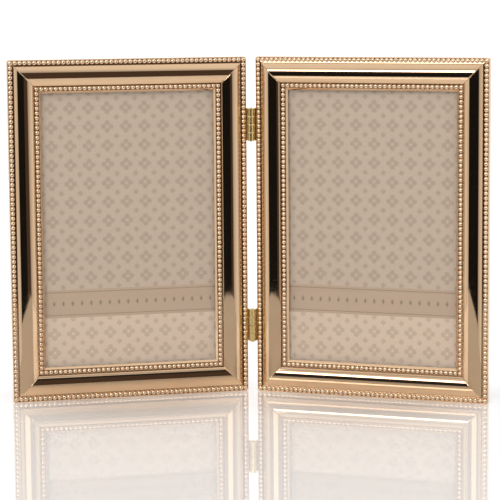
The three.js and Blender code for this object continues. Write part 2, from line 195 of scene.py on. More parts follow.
# %% [markdown]
# ### Gold plate
#
# The mouldings and beads are a polished metal casting with a thin pale gold plate. A mirror finish
# takes nearly all of its looks from what it reflects, so the shader is a plain metal. What keeps
# it real is small: a plate that is a touch redder in patches, a polish that is a little duller
# where the buffing wheel lingered, and a very slight waviness left by the polishing. The grooves
# get painted shade, and old polish that the wheel never reaches dulls their gloss. Each mesh below
# stores how dark its grooves are painted, and the plate reads that number as an attribute. The
# bead wires get a paler copy of the plate, painted light for their many small highlights.

# %% Gold plate
GOLD_LIGHT = linear("#e6c5a1")
GOLD_DEEP = linear("#dfbb96")
# Paler copy of the plate for the beads: painted light, for the brightness of their many small highlights.
BEAD_BRIGHTENED_PALE = linear("#ebd2b5")
BEAD_BRIGHTENED_DEEP = linear("#e5caab")
# Colour of the painted shade in the grooves.
GROOVE_SHADE_COLOUR = linear("#4c3726")
OLD_POLISH_DULL = 0.15
SHADE_ATTRIBUTE = "painted_groove_shade"
PLATE_PATCH = 14.0
POLISH_STREAK = 3.0
POLISH_WAVE = 9.0
WAVE_RELIEF = {"Strength": 0.5, "Distance": 0.012 * MM}
MIRROR_GLOSS = {"From Min": 0.3, "From Max": 0.7, "To Min": 0.03, "To Max": 0.06}


def gold_plate(name, pale, deep):
    """Mirror polished plate between two golds, with painted shade where a mesh says that it lies in a
    groove.
    """
    material, tree, shader, place = finish(name, {"Metallic": 1.0})
    patch = add(tree, "ShaderNodeTexNoise", {"Scale": 1 / (PLATE_PATCH * MM), "Detail": 2.0},
                {"Vector": place})
    plate = add(tree, "ShaderNodeMix", {"data_type": "RGBA", MIX_A: pale, MIX_B: deep},
                {0: patch.outputs[0]})
    # Painted shade from the meshes: it darkens the plate towards the groove colour and also dulls its
    # gloss.
    painted_groove_shade = add(tree, "ShaderNodeAttribute", {"attribute_name": SHADE_ATTRIBUTE}).outputs["Fac"]
    tint = add(tree, "ShaderNodeMix", {"data_type": "RGBA", MIX_B: GROOVE_SHADE_COLOUR},
               {0: painted_groove_shade, MIX_A: plate.outputs[MIX_RESULT]})
    streak = add(tree, "ShaderNodeTexNoise", {"Scale": 1 / (POLISH_STREAK * MM), "Detail": 4.0},
                 {"Vector": place})
    buffed = add(tree, "ShaderNodeMapRange", MIRROR_GLOSS, {"Value": streak.outputs[0]})
    polish = add(tree, "ShaderNodeMath", {"operation": "MULTIPLY_ADD", 1: OLD_POLISH_DULL},
                 {0: painted_groove_shade, 2: buffed.outputs[0]})
    wave = add(tree, "ShaderNodeTexNoise", {"Scale": 1 / (POLISH_WAVE * MM), "Detail": 0.0},
               {"Vector": place})
    bump = add(tree, "ShaderNodeBump", WAVE_RELIEF, {"Height": wave.outputs[0]})
    tree.links.new(tint.outputs[MIX_RESULT], shader.inputs["Base Color"])
    tree.links.new(polish.outputs[0], shader.inputs["Roughness"])
    tree.links.new(bump.outputs[0], shader.inputs["Normal"])
    return material


GOLD = gold_plate("gold_plate_polished", GOLD_LIGHT, GOLD_DEEP)
BRIGHTENED_BEAD_GOLD = gold_plate("gold_plate_brightened_on_beads", BEAD_BRIGHTENED_PALE, BEAD_BRIGHTENED_DEEP)
print("finishes", GOLD.name, BRIGHTENED_BEAD_GOLD.name)

# %% [markdown]
# ### Rolled brass
#
# Hinges, pins, screws, turn buttons and rivets are plain brass. It is yellower than the plate and
# comes from rolled sheet or drawn wire, so fine parallel lines run along it and blur what it
# reflects. Real roll lines are a few hundredths of a millimetre wide. They are drawn at 0.15 mm,
# coarse enough to show.

# %% Rolled brass
BRASS_BRIGHT = linear("#f0da9f")
BRASS_DULL = linear("#d8ba78")
ROLL_LINE = 0.15
ROLL_STRETCH = (1.0, 1.0, 0.03)
ROLL_RELIEF = {"Strength": 0.15, "Distance": 0.01 * MM}
ROLLED_GLOSS = {"From Min": 0.3, "From Max": 0.7, "To Min": 0.14, "To Max": 0.28}
TARNISH_PATCH = 4.0


def rolled_brass():
    """Yellow metal in two tones, with roll lines stretched along its length."""
    material, tree, shader, place = finish("brass_rolled", {"Metallic": 1.0})
    patch = add(tree, "ShaderNodeTexNoise", {"Scale": 1 / (TARNISH_PATCH * MM), "Detail": 3.0},
                {"Vector": place})
    tint = add(tree, "ShaderNodeMix", {"data_type": "RGBA", MIX_A: BRASS_BRIGHT, MIX_B: BRASS_DULL},
               {0: patch.outputs[0]})
    stretched = add(tree, "ShaderNodeMapping", {"Scale": ROLL_STRETCH}, {"Vector": place})
    lines = add(tree, "ShaderNodeTexNoise", {"Scale": 1 / (ROLL_LINE * MM), "Detail": 2.0},
                {"Vector": stretched.outputs[0]})
    dulled = add(tree, "ShaderNodeMapRange", ROLLED_GLOSS, {"Value": lines.outputs[0]})
    bump = add(tree, "ShaderNodeBump", ROLL_RELIEF, {"Height": lines.outputs[0]})
    tree.links.new(tint.outputs[MIX_RESULT], shader.inputs["Base Color"])
    tree.links.new(dulled.outputs[0], shader.inputs["Roughness"])
    tree.links.new(bump.outputs[0], shader.inputs["Normal"])
    return material


BRASS = rolled_brass()
print("finish", BRASS.name)

# %% [markdown]
# ### Zinc plated steel
#
# The corner keys hide inside the moulding. Zinc plate grows small crystals, so the grey is broken
# into patches with slightly different tones.

# %% Zinc plated steel
ZINC_PALE = linear("#b4b5b3")
ZINC_DARK = linear("#8f918f")
ZINC_CRYSTAL = 1.2
ZINC_GLOSS = {"To Min": 0.3, "To Max": 0.45}


def zinc_plate():
    """Grey metal broken into crystals, each with its own tone and gloss."""
    material, tree, shader, place = finish("steel_zinc_plated", {"Metallic": 1.0})
    crystal = add(tree, "ShaderNodeTexVoronoi", {"Scale": 1 / (ZINC_CRYSTAL * MM)}, {"Vector": place})
    tint = add(tree, "ShaderNodeMix", {"data_type": "RGBA", MIX_A: ZINC_PALE, MIX_B: ZINC_DARK},
               {0: crystal.outputs["Color"]})
    dulled = add(tree, "ShaderNodeMapRange", ZINC_GLOSS, {"Value": crystal.outputs["Color"]})
    tree.links.new(tint.outputs[MIX_RESULT], shader.inputs["Base Color"])
    tree.links.new(dulled.outputs[0], shader.inputs["Roughness"])
    return material


ZINC = zinc_plate()
print("finish", ZINC.name)

# %% [markdown]
# ### Float glass
#
# Float glass is smooth on both sides, so only faint wiping marks vary its gloss. A renderer finds
# its lamps with straight shadow rays, and bent glass would stop those and leave the print dark. So
# for shadow rays and for diffuse light the pane counts as clear.

# %% Float glass
GLASS_BODY = {"IOR": 1.52, "Transmission Weight": 1.0, "Base Color": linear("#fbfdfc")}
WIPE_MARK = 18.0
WIPED_GLOSS = {"From Min": 0.35, "From Max": 0.65, "To Min": 0.006, "To Max": 0.02}


def float_glass():
    """Clear pane with faint wiping marks, open to shadow rays and diffuse light."""
    material, tree, shader, place = finish("glass_float", GLASS_BODY)
    mark = add(tree, "ShaderNodeTexNoise", {"Scale": 1 / (WIPE_MARK * MM), "Detail": 5.0},
               {"Vector": place})
    gloss = add(tree, "ShaderNodeMapRange", WIPED_GLOSS, {"Value": mark.outputs[0]})
    tree.links.new(gloss.outputs[0], shader.inputs["Roughness"])
    path = add(tree, "ShaderNodeLightPath")
    let_through = add(tree, "ShaderNodeMath", {"operation": "MAXIMUM"},
                      {0: path.outputs["Is Shadow Ray"], 1: path.outputs["Is Diffuse Ray"]})
    clear = add(tree, "ShaderNodeBsdfTransparent")
    pane = add(tree, "ShaderNodeMixShader", None,
               {0: let_through.outputs[0], 1: shader.outputs[0], 2: clear.outputs[0]})
    tree.links.new(pane.outputs[0], tree.nodes["Material Output"].inputs["Surface"])
    return material


GLASS = float_glass()
print("finish", GLASS.name)

# %% [markdown]
# ### Printed paper
#
# The sheet behind the glass is a matt print in two beige inks: a quiet ground of four petalled
# flowers with a small lozenge between them, set in straight rows, and a band across it with two
# thin rules and a row of slim lozenges. Below the band the ground is paler: painted light from the
# white floor. The pattern is drawn with distances. Folding the sheet into one cell and taking the
# absolute value of its coordinates leaves a quarter of a flower, so a petal is the distance to one
# point and a lozenge is the sum of the two coordinates.

# %% Flowers on the ground
PAPER_GROUND = linear("#c2ab96")
PAPER_MOTIF = linear("#b29a85")
CELL = 9.6
CELL_MIDDLE = (0.5, 0, 0.5)
PETAL_PLACE = 0.2
PETAL_RADIUS = 0.125
EYE_RADIUS = 0.06
LOZENGE = 0.15
INK_EDGE = 0.035


def flowered_ground(tree, place):
    """Colour of the ground: a flower in the middle of each cell, a lozenge on its corners."""
    scale = 1 / (CELL * MM)
    cells = add(tree, "ShaderNodeVectorMath", {"operation": "MULTIPLY", 1: (scale, 0, scale)}, {0: place})
    part = add(tree, "ShaderNodeVectorMath", {"operation": "FRACTION"}, {0: cells.outputs[0]})
    centred = add(tree, "ShaderNodeVectorMath", {"operation": "SUBTRACT", 1: CELL_MIDDLE},
                  {0: part.outputs[0]})
    corner = add(tree, "ShaderNodeVectorMath", {"operation": "ABSOLUTE"}, {0: centred.outputs[0]})
    spots = []
    for spot in ((PETAL_PLACE, 0, 0), (0, 0, PETAL_PLACE)):
        spots.append(add(tree, "ShaderNodeVectorMath", {"operation": "DISTANCE", 1: spot},
                         {0: corner.outputs[0]}))
    nearest = add(tree, "ShaderNodeMath", {"operation": "MINIMUM"},
                  {0: spots[0].outputs["Value"], 1: spots[1].outputs["Value"]})
    petals = add(tree, "ShaderNodeMapRange",
                 {"From Min": PETAL_RADIUS + INK_EDGE, "From Max": PETAL_RADIUS},
                 {"Value": nearest.outputs[0]})
    middle = add(tree, "ShaderNodeVectorMath", {"operation": "LENGTH"}, {0: corner.outputs[0]})
    around_eye = add(tree, "ShaderNodeMapRange",
                     {"From Min": EYE_RADIUS, "From Max": EYE_RADIUS + INK_EDGE},
                     {"Value": middle.outputs["Value"]})
    flower = add(tree, "ShaderNodeMath", {"operation": "MULTIPLY"},
                 {0: petals.outputs[0], 1: around_eye.outputs[0]})
    reach = add(tree, "ShaderNodeVectorMath", {"operation": "DOT_PRODUCT", 1: (1, 0, 1)},
                {0: corner.outputs[0]})
    lozenge = add(tree, "ShaderNodeMapRange",
                  {"From Min": 1 - LOZENGE - INK_EDGE, "From Max": 1 - LOZENGE},
                  {"Value": reach.outputs["Value"]})
    motif = add(tree, "ShaderNodeMath", {"operation": "MAXIMUM"},
                {0: flower.outputs[0], 1: lozenge.outputs[0]})
    ground = add(tree, "ShaderNodeMix", {"data_type": "RGBA", MIX_A: PAPER_GROUND, MIX_B: PAPER_MOTIF},
                 {0: motif.outputs[0]})
    return ground.outputs[MIX_RESULT]


print("a flower every", CELL, "mm")

# %% Band across the sheet
# Painted light: the ground below the band is brightened by this factor, for the light from the white floor
# on the lower sheet.
PAINTED_FLOOR_LIGHT = 1.25
BAND_GROUND = linear("#ba9e85")
BAND_RULE = linear("#8f7a5c")
BAND_MIDDLE = 49.2
BAND_HEIGHT = 14.5
RULE_INSET = 1.4
RULE_WIDTH = 0.35
RULE_PLACE = BAND_HEIGHT / 2 - RULE_INSET
BAND_PITCH = 4.8
BAND_LOZENGE = 1.5
BAND_LOZENGE_SLIM = 2.0


def with_band(tree, place, ground):
    """The ground, with painted light from the floor below the band, and over it the band with its rules and
    lozenges.
    """
    height = add(tree, "ShaderNodeSeparateXYZ", None, {0: place})
    from_middle = add(tree, "ShaderNodeMath", {"operation": "SUBTRACT", 1: BAND_MIDDLE * MM},
                      {0: height.outputs["Z"]})
    below = add(tree, "ShaderNodeMath", {"operation": "LESS_THAN", 1: 0.0}, {0: from_middle.outputs[0]})
    # Painted light from the floor, below the band.
    foot = add(tree, "ShaderNodeMapRange", {"To Min": 1.0, "To Max": PAINTED_FLOOR_LIGHT},
               {"Value": below.outputs[0]})
    floor_lit_ground = add(tree, "ShaderNodeVectorMath", {"operation": "SCALE"},
                {0: ground, "Scale": foot.outputs[0]})
    off_middle = add(tree, "ShaderNodeMath", {"operation": "ABSOLUTE"}, {0: from_middle.outputs[0]})
    in_band = add(tree, "ShaderNodeMath", {"operation": "LESS_THAN", 1: BAND_HEIGHT / 2 * MM},
                  {0: off_middle.outputs[0]})
    banded = add(tree, "ShaderNodeMix", {"data_type": "RGBA", MIX_B: BAND_GROUND},
                 {0: in_band.outputs[0], MIX_A: floor_lit_ground.outputs[0]})
    on_rule = add(tree, "ShaderNodeMath",
                  {"operation": "COMPARE", 1: RULE_PLACE * MM, 2: RULE_WIDTH / 2 * MM},
                  {0: off_middle.outputs[0]})
    across = add(tree, "ShaderNodeMath", {"operation": "PINGPONG", 1: BAND_PITCH / 2 * MM},
                 {0: height.outputs["X"]})
    slim = add(tree, "ShaderNodeMath", {"operation": "MULTIPLY_ADD", 1: BAND_LOZENGE_SLIM},
               {0: across.outputs[0], 2: off_middle.outputs[0]})
    in_row = add(tree, "ShaderNodeMath", {"operation": "LESS_THAN", 1: BAND_LOZENGE * MM},
                 {0: slim.outputs[0]})
    brown = add(tree, "ShaderNodeMath", {"operation": "MAXIMUM"},
                {0: on_rule.outputs[0], 1: in_row.outputs[0]})
    ruled = add(tree, "ShaderNodeMix", {"data_type": "RGBA", MIX_B: BAND_RULE},
                {0: brown.outputs[0], MIX_A: banded.outputs[MIX_RESULT]})
    return ruled.outputs[MIX_RESULT]


print("band", BAND_HEIGHT, "mm high with a lozenge every", BAND_PITCH, "mm")

# %% Printed paper
PAPER_BODY = {"Roughness": 0.75, "Specular IOR Level": 0.3}
FIBRE = 0.25
FIBRE_TONE = {"To Min": 0.94, "To Max": 1.06}
FIBRE_RELIEF = {"Strength": 0.2, "Distance": 0.02 * MM}


def printed_paper():
    """Matt paper with the printed design and a faint fibre in its tone and surface."""
    material, tree, shader, place = finish("paper_matt_print", PAPER_BODY)
    design = with_band(tree, place, flowered_ground(tree, place))
    fibre = add(tree, "ShaderNodeTexNoise", {"Scale": 1 / (FIBRE * MM), "Detail": 3.0}, {"Vector": place})
    tone = add(tree, "ShaderNodeMapRange", FIBRE_TONE, {"Value": fibre.outputs[0]})
    printed = add(tree, "ShaderNodeVectorMath", {"operation": "SCALE"},
                  {0: design, "Scale": tone.outputs[0]})
    bump = add(tree, "ShaderNodeBump", FIBRE_RELIEF, {"Height": fibre.outputs[0]})
    tree.links.new(printed.outputs[0], shader.inputs["Base Color"])
    tree.links.new(bump.outputs[0], shader.inputs["Normal"])
    return material


PAPER = printed_paper()
print("finish", PAPER.name)

# %% [markdown]
# ### Hardboard and velvet
#
# The panel behind the print is hardboard: wood fibre pressed flat, brown with lighter threads. Its
# back is covered with short black velvet. Velvet looks darkest face on and lights up at a glancing
# angle, which is what the sheen input does, and brushed patches of its pile lean different ways.

# %% Hardboard and velvet
BOARD_DARK = linear("#5d402b")
BOARD_PALE = linear("#85634a")
BOARD_FIBRE = 0.6
BOARD_ROUGH = 0.8
BOARD_RELIEF = {"Strength": 0.4, "Distance": 0.05 * MM}
VELVET_DEEP = linear("#0f0d0e")
VELVET_LIFTED = linear("#221e20")
VELVET_SHEEN = linear("#8d868a")
VELVET_BODY = {"Roughness": 0.95, "Specular IOR Level": 0.1, "Sheen Weight": 0.6,
               "Sheen Roughness": 0.35, "Sheen Tint": VELVET_SHEEN}
PILE_PATCH = 12.0
PILE_LEAN = {"From Min": 0.35, "From Max": 0.65}
PILE_TUFT = 0.35
PILE_RELIEF = {"Strength": 0.6, "Distance": 0.15 * MM}


def hardboard():
    """Brown board with lighter threads of wood fibre."""
    material, tree, shader, place = finish("hardboard_pressed", {"Roughness": BOARD_ROUGH})
    fibre = add(tree, "ShaderNodeTexNoise", {"Scale": 1 / (BOARD_FIBRE * MM), "Detail": 6.0},
                {"Vector": place})
    tint = add(tree, "ShaderNodeMix", {"data_type": "RGBA", MIX_A: BOARD_DARK, MIX_B: BOARD_PALE},
               {0: fibre.outputs[0]})
    bump = add(tree, "ShaderNodeBump", BOARD_RELIEF, {"Height": fibre.outputs[0]})
    tree.links.new(tint.outputs[MIX_RESULT], shader.inputs["Base Color"])
    tree.links.new(bump.outputs[0], shader.inputs["Normal"])
    return material


def black_velvet():
    """Nearly black pile with a sheen, brushed in patches and broken into tufts."""
    material, tree, shader, place = finish("velvet_short_pile", VELVET_BODY)
    lean = add(tree, "ShaderNodeTexNoise", {"Scale": 1 / (PILE_PATCH * MM), "Detail": 3.0},
               {"Vector": place})
    lifted = add(tree, "ShaderNodeMapRange", PILE_LEAN, {"Value": lean.outputs[0]})
    tint = add(tree, "ShaderNodeMix", {"data_type": "RGBA", MIX_A: VELVET_DEEP, MIX_B: VELVET_LIFTED},
               {0: lifted.outputs[0]})
    tuft = add(tree, "ShaderNodeTexNoise", {"Scale": 1 / (PILE_TUFT * MM), "Detail": 2.0},
               {"Vector": place})
    bump = add(tree, "ShaderNodeBump", PILE_RELIEF, {"Height": tuft.outputs[0]})
    tree.links.new(tint.outputs[MIX_RESULT], shader.inputs["Base Color"])
    tree.links.new(bump.outputs[0], shader.inputs["Normal"])
    return material


HARDBOARD = hardboard()
VELVET = black_velvet()
print("finishes", HARDBOARD.name, VELVET.name)

# %% [markdown]
# ## Tools for shapes
#
# Nearly every piece here is a loft: a row of rings with the same number of points, joined by
# quads. A moulding is a section carried along a run, a rivet is a ring that grows and shrinks, and
# a flat plate is one outline drawn a few times with slightly different sizes, which rounds its
# edges. One function lofts, one rounds the corners of an outline, and one turns a finished drawing
# into a piece that stands where its solid does and rides on its body. A weighted normal modifier
# keeps the large flats flat: without it the small roundings beside them would bend a mirror image.

# %% Lofts and outlines
CORNER_STEPS = 4


def loft(bm, rings, closed=False):
    """Quads between rings of points. An open loft gets a face at each end."""
    made = [[bm.verts.new(point) for point in ring] for ring in rings]
    pairs = list(zip(made, made[1:]))
    if closed:
        pairs.append((made[-1], made[0]))
    for near, far in pairs:
        for i in range(len(near)):
            j = (i + 1) % len(near)
            bm.faces.new((near[i], near[j], far[j], far[i]))
    if not closed:
        bm.faces.new(made[0])
        bm.faces.new(made[-1])
    return made


def rounded(corners):
    """Outline from (x, y, radius) corners, each corner with a radius turned into an arc."""
    outline = []
    count = len(corners)
    for i, (x, y, radius) in enumerate(corners):
        here = Vector((x, y))
        if radius == 0:
            outline.append((x, y))
            continue
        back = (Vector(corners[i - 1][:2]) - here).normalized()
        ahead = (Vector(corners[(i + 1) % count][:2]) - here).normalized()
        half_angle = math.acos(max(-1.0, min(1.0, back.dot(ahead)))) / 2
        centre = here + (back + ahead).normalized() * radius / math.sin(half_angle)
        start = here + back * radius / math.tan(half_angle) - centre
        end = here + ahead * radius / math.tan(half_angle) - centre
        sweep = start.angle_signed(end)
        for step in range(CORNER_STEPS + 1):
            arm = start.copy()
            arm.rotate(Matrix.Rotation(-sweep * step / CORNER_STEPS, 2))
            outline.append(tuple(centre + arm))
    return outline


def circle(centre, radius, sides):
    """Points of a circle in the plane of its first two coordinates."""
    angles = [2 * math.pi * i / sides for i in range(sides)]
    return [(centre[0] + radius * math.cos(a), centre[1] + radius * math.sin(a)) for a in angles]


print("a rounded square has", len(rounded([(0, 0, 1), (4, 0, 1), (4, 4, 1), (0, 4, 1)])), "points")

# %% A drawing becomes a piece
SMOOTH_ANGLE = math.radians(34)


def piece(name, bm, hand, body, material, replaced):
    """The drawing as an object: scaled to metres, mirrored for the left hand, stood up and riding."""
    sign = HANDS[hand]
    bmesh.ops.scale(bm, vec=(sign * MM, MM, MM), verts=bm.verts)
    bmesh.ops.recalc_face_normals(bm, faces=bm.faces)
    mesh = bpy.data.meshes.new(name)
    bm.to_mesh(mesh)
    bm.free()
    mesh.shade_smooth()
    mesh.set_sharp_from_angle(angle=SMOOTH_ANGLE)
    mesh.materials.append(material)
    made = bpy.data.objects.new(name, mesh)
    made.modifiers.new("flat_faces_stay_flat", "WEIGHTED_NORMAL").keep_sharp = True
    bpy.context.scene.collection.objects.link(made)
    made.matrix_world = upright(sign)
    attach(made, body)
    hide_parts(replaced)
    return made


print("edges sharper than", round(math.degrees(SMOOTH_ANGLE)), "degrees stay sharp")

# %% [markdown]
# ## The moulding
#
# Each side of a frame is a hollow moulding: a thin rim, a channel for beads, an arched cushion, a
# second channel and a flat lip that holds the glass. Behind them a wall and a flange close the
# back. Extruding the section and cutting the mitres with booleans would work, but the mitre is
# simple enough to draw: a point that lies a given way in from the edge starts that far along the
# run. The frame's corners are rounded by pulling the first millimetre of the rim onto an arc, and
# every step of the section has its own small radius, because a sharp edge catches no light.

# %% Sizes of the moulding
RIM_WIDTH = 0.5
RIM_DROP = 1.8
RIM_FALL = 0.45
OUTER_CHANNEL_DROP = 2.7
OUTER_CHANNEL_RISE = 0.4
CUSHION_START = 3.3
CUSHION_END = 13.1
CUSHION_RISE = 1.7
INNER_CHANNEL_DROP = 3.4
INNER_CHANNEL_RISE = 0.45
GROOVE_WIDTH = 0.75
GROOVE_BEND = 1.0
GROOVE_SHARE = GROOVE_WIDTH / (CUSHION_START - RIM_WIDTH)
OUTER_GROOVE_DROP = OUTER_CHANNEL_DROP - OUTER_CHANNEL_RISE
INNER_GROOVE_DROP = INNER_CHANNEL_DROP - INNER_CHANNEL_RISE
LIP_START = 15.8
LIP_DROP = 2.8
LIP_BACK = 4.0
FACE_WIDTH = 17.0
WALL = 1.4
LAND_END = 5.1
BACK_TAPER = 1.6
FLANGE_FRONT = 9.0
FRAME_DEPTH = 10.0
FLANGE_EDGE = 10.2
CUSHION_STEPS = 28
EDGE_ROUND = 0.12
CHANNEL_ROUND = 0.2
COVE = 0.45
SHOULDER_ROUND = 0.3
LIP_ROUND = 0.3
LIP_LAND = 0.2
LIP_FALL = 1.0
print("moulding", FACE_WIDTH, "mm wide and", FRAME_DEPTH, "mm deep")

# %% Moulding section


def cushion():
    """Points of the cushion's arch between its two shoulders."""
    half = (CUSHION_END - CUSHION_START) / 2
    radius = (half ** 2 + CUSHION_RISE ** 2) / (2 * CUSHION_RISE)
    sweep = math.asin(half / radius)
    points = []
    for i in range(1, CUSHION_STEPS):
        angle = sweep * (2 * i / CUSHION_STEPS - 1)
        inset = CUSHION_START + half + radius * math.sin(angle)
        points.append((inset, radius - radius * math.cos(angle), 0))
    return points


def moulding_section(taper):
    """Outline of the moulding as (inset, depth), from the rim round to the back."""
    return rounded([
        (0, RIM_DROP + RIM_FALL, EDGE_ROUND),
        (RIM_WIDTH, RIM_DROP, EDGE_ROUND),
        (RIM_WIDTH, OUTER_CHANNEL_DROP, COVE),
        (CUSHION_START - GROOVE_WIDTH, OUTER_GROOVE_DROP + GROOVE_SHARE * OUTER_CHANNEL_RISE, 0),
        (CUSHION_START, OUTER_GROOVE_DROP, CHANNEL_ROUND),
        (CUSHION_START, CUSHION_RISE, SHOULDER_ROUND),
        *cushion(),
        (CUSHION_END, CUSHION_RISE, SHOULDER_ROUND),
        (CUSHION_END, INNER_GROOVE_DROP, CHANNEL_ROUND),
        (CUSHION_END + GROOVE_WIDTH, INNER_GROOVE_DROP, GROOVE_BEND),
        (LIP_START, INNER_CHANNEL_DROP, COVE),
        (LIP_START, LIP_DROP, EDGE_ROUND),
        (LIP_START + LIP_LAND, LIP_DROP, LIP_ROUND),
        (FACE_WIDTH, LIP_DROP + LIP_FALL, EDGE_ROUND),
        (FACE_WIDTH, LIP_BACK, 0),
        (WALL, LIP_BACK, CHANNEL_ROUND),
        (WALL, LAND_END, 0),
        (WALL + taper, FLANGE_FRONT, CHANNEL_ROUND),
        (FLANGE_EDGE, FLANGE_FRONT, EDGE_ROUND),
        (FLANGE_EDGE, FRAME_DEPTH, EDGE_ROUND),
        (BACK_TAPER, FRAME_DEPTH, 0 if taper == 0 else EDGE_ROUND),
        *([] if taper else [(0, FRAME_DEPTH, 0)]),
        (0, LAND_END, 0),
    ])


print("sections of", len(moulding_section(BACK_TAPER)), "and", len(moulding_section(0)), "points")

# %% [markdown]
# ### Painted shade in the channels
#
# The floor of each channel rises a little towards the cushion and leaves a narrow groove beside it.
# The channels get painted shade, darkest in that groove and most of all on the hinge side. The same
# numbers dull the gloss there, as old polish left where the wheel can't reach. A dark line could be
# painted with a texture, but the section already knows how deep each of its points lies, so every
# point gets a number from nothing at the brim to the full painted shade on the floor.

# %% Painted shade in the channels
# Painted shade: how dark the floor of each channel is painted, outside, inside, beside the cushion and by
# the hinges.
OUTER_PAINTED_SHADE = 0.25
INNER_PAINTED_SHADE = 0.6
CUSHION_PAINTED_SHADE = 0.65
HINGE_PAINTED_SHADE = 1.0
CUSHION_BRIM = CUSHION_RISE + SHOULDER_ROUND
OUTER_GROOVE = CUSHION_START - GROOVE_WIDTH / 2
INNER_GROOVE = CUSHION_END + GROOVE_WIDTH / 2
CHANNEL_SIDES = (
    (RIM_WIDTH, OUTER_GROOVE, RIM_DROP, OUTER_CHANNEL_DROP, OUTER_PAINTED_SHADE),
    (OUTER_GROOVE, CUSHION_START, CUSHION_BRIM, OUTER_GROOVE_DROP, CUSHION_PAINTED_SHADE),
    (CUSHION_END, INNER_GROOVE, CUSHION_BRIM, INNER_GROOVE_DROP, CUSHION_PAINTED_SHADE),
    (INNER_GROOVE, LIP_START, LIP_DROP, INNER_CHANNEL_DROP, INNER_PAINTED_SHADE),
)


def painted_shade_at(side, inset, depth):
    """How much painted shade a point of the section gets: none at a channel's brim, all of it on the floor.
    """
    beside_cushion = CUSHION_START - GROOVE_WIDTH <= inset <= CUSHION_START and depth >= CUSHION_BRIM
    if side == "hinge" and beside_cushion:
        return HINGE_PAINTED_SHADE
    for start, end, brim, lowest, painted_shade in CHANNEL_SIDES:
        if start <= inset <= end and depth >= brim:
            return painted_shade * min(1.0, (depth - brim) / (lowest - brim))
    return 0.0


print("painted_shade", OUTER_PAINTED_SHADE, "outside,", INNER_PAINTED_SHADE, "inside and", HINGE_PAINTED_SHADE, "by the hinges")

# %% Carry the section along the four sides
MITRE_SHIFT = 0.057
MITRE_VEE = 0.1
CORNER_RADIUS = 1.0
CORNER_STATIONS = 5

SIDES = {
    "bottom": {"rail": "bottom_rail", "length": FRAME_WIDTH,
               "corner": (0, 0), "run": (1, 0), "inward": (0, 1)},
    "outer": {"rail": "outer_stile", "length": FRAME_HEIGHT,
              "corner": (FRAME_WIDTH, 0), "run": (0, 1), "inward": (-1, 0)},
    "top": {"rail": "top_rail", "length": FRAME_WIDTH,
            "corner": (FRAME_WIDTH, FRAME_HEIGHT), "run": (-1, 0), "inward": (0, -1)},
    "hinge": {"rail": "hinge_stile", "length": FRAME_HEIGHT,
              "corner": (0, FRAME_HEIGHT), "run": (0, -1), "inward": (1, 0)},
}


def on_side(side, along, inset, depth):
    """Flat point of a side from its place along the run, its inset and its depth."""
    corner, run, inward = (SIDES[side][part] for part in ("corner", "run", "inward"))
    x = corner[0] + along * run[0] + inset * inward[0]
    z = corner[1] + along * run[1] + inset * inward[1]
    return x, depth, z


def neighbour_taper(depth):
    """How far the tapered neighbours have leaned in at this depth."""
    return max(0.0, (depth - LAND_END) / (FRAME_DEPTH - LAND_END)) * BACK_TAPER


def rail_ring(side, section, from_mitre, far_end):
    """One ring of a rail, a given way from the mitre at its near or far end."""
    length = SIDES[side]["length"]
    lean = (1 - min(from_mitre / CORNER_RADIUS, 1)) * math.pi / 4
    along_pull = CORNER_RADIUS * (1 - math.sin(lean)) - from_mitre
    inward_pull = CORNER_RADIUS * (1 - math.cos(lean))
    ring = []
    for inset, depth in section:
        start = max(inset, neighbour_taper(depth)) if side == "hinge" else inset
        weight = max(0.0, 1 - inset / CORNER_RADIUS) * (1 if start == inset else 0)
        pull = along_pull if from_mitre < CORNER_RADIUS else 0
        along = start + MITRE_SHIFT + from_mitre + weight * pull
        vee = MITRE_VEE if from_mitre == 0 and depth < LIP_DROP else 0
        place = length - along if far_end else along
        ring.append(on_side(side, place, inset + weight * inward_pull, depth + vee))
    return ring


def rail(hand, side):
    """One side of a frame, with the painted shade of its channels stored on its points."""
    section = moulding_section(0 if side == "hinge" else BACK_TAPER)
    steps = [CORNER_RADIUS * i / CORNER_STATIONS for i in range(CORNER_STATIONS + 1)]
    rings = [rail_ring(side, section, step, False) for step in steps]
    rings += [rail_ring(side, section, step, True) for step in reversed(steps)]
    bm = bmesh.new()
    groove = bm.verts.layers.float.new(SHADE_ATTRIBUTE)
    # Each point stores its painted shade, which the plate reads.
    for ring in loft(bm, rings):
        for vertex, (inset, depth) in zip(ring, section):
            vertex[groove] = painted_shade_at(side, inset, depth)
    name = f"{hand}_{SIDES[side]['rail']}"
    return piece(f"{name}_moulding", bm, hand, f"{hand}_frame", GOLD, name)


rails = [rail(hand, side) for hand in HANDS for side in SIDES]
print("rails", len(rails), "with", sum(len(r.data.polygons) for r in rails), "faces")

# %% [markdown]
# ## The beads
#
# A beaded wire lies in each channel: round beads pressed side by side, joined by a thin web. An
# array along a curve would place spheres, but the corners would not meet. Here each side gets a
# whole number of beads with one exactly on every corner. The press flattens them a little, so a
# bead is a dome that is wider than it is high, on a flat foot: the dark room in front then shows
# as a spot in its middle with a bright ring round it. The web is a half round loop under them.

# %% Places of the beads
# The last entry of each wire is the painted shade at the beads' feet and on their web.
BEADS = {
    "outer_bead": {"inset": 1.55, "radius": 1.15, "pitch": 2.44,
                   "floor": OUTER_CHANNEL_DROP, "painted_shade": OUTER_PAINTED_SHADE},
    "inner_bead": {"inset": 14.62, "radius": 1.15, "pitch": 2.45,
                   "floor": INNER_CHANNEL_DROP, "painted_shade": INNER_PAINTED_SHADE},
}


def bead_centres(inset, pitch):
    """Centres of the beads round one loop, with a bead on each corner."""
    centres = []
    for side, parts in SIDES.items():
        span = parts["length"] - 2 * inset
        count = round(span / pitch)
        for i in range(count):
            centres.append(on_side(side, inset + span * i / count, inset, 0))
    return centres


for kind, size in BEADS.items():
    print(kind, len(bead_centres(size["inset"], size["pitch"])), "beads on each frame")

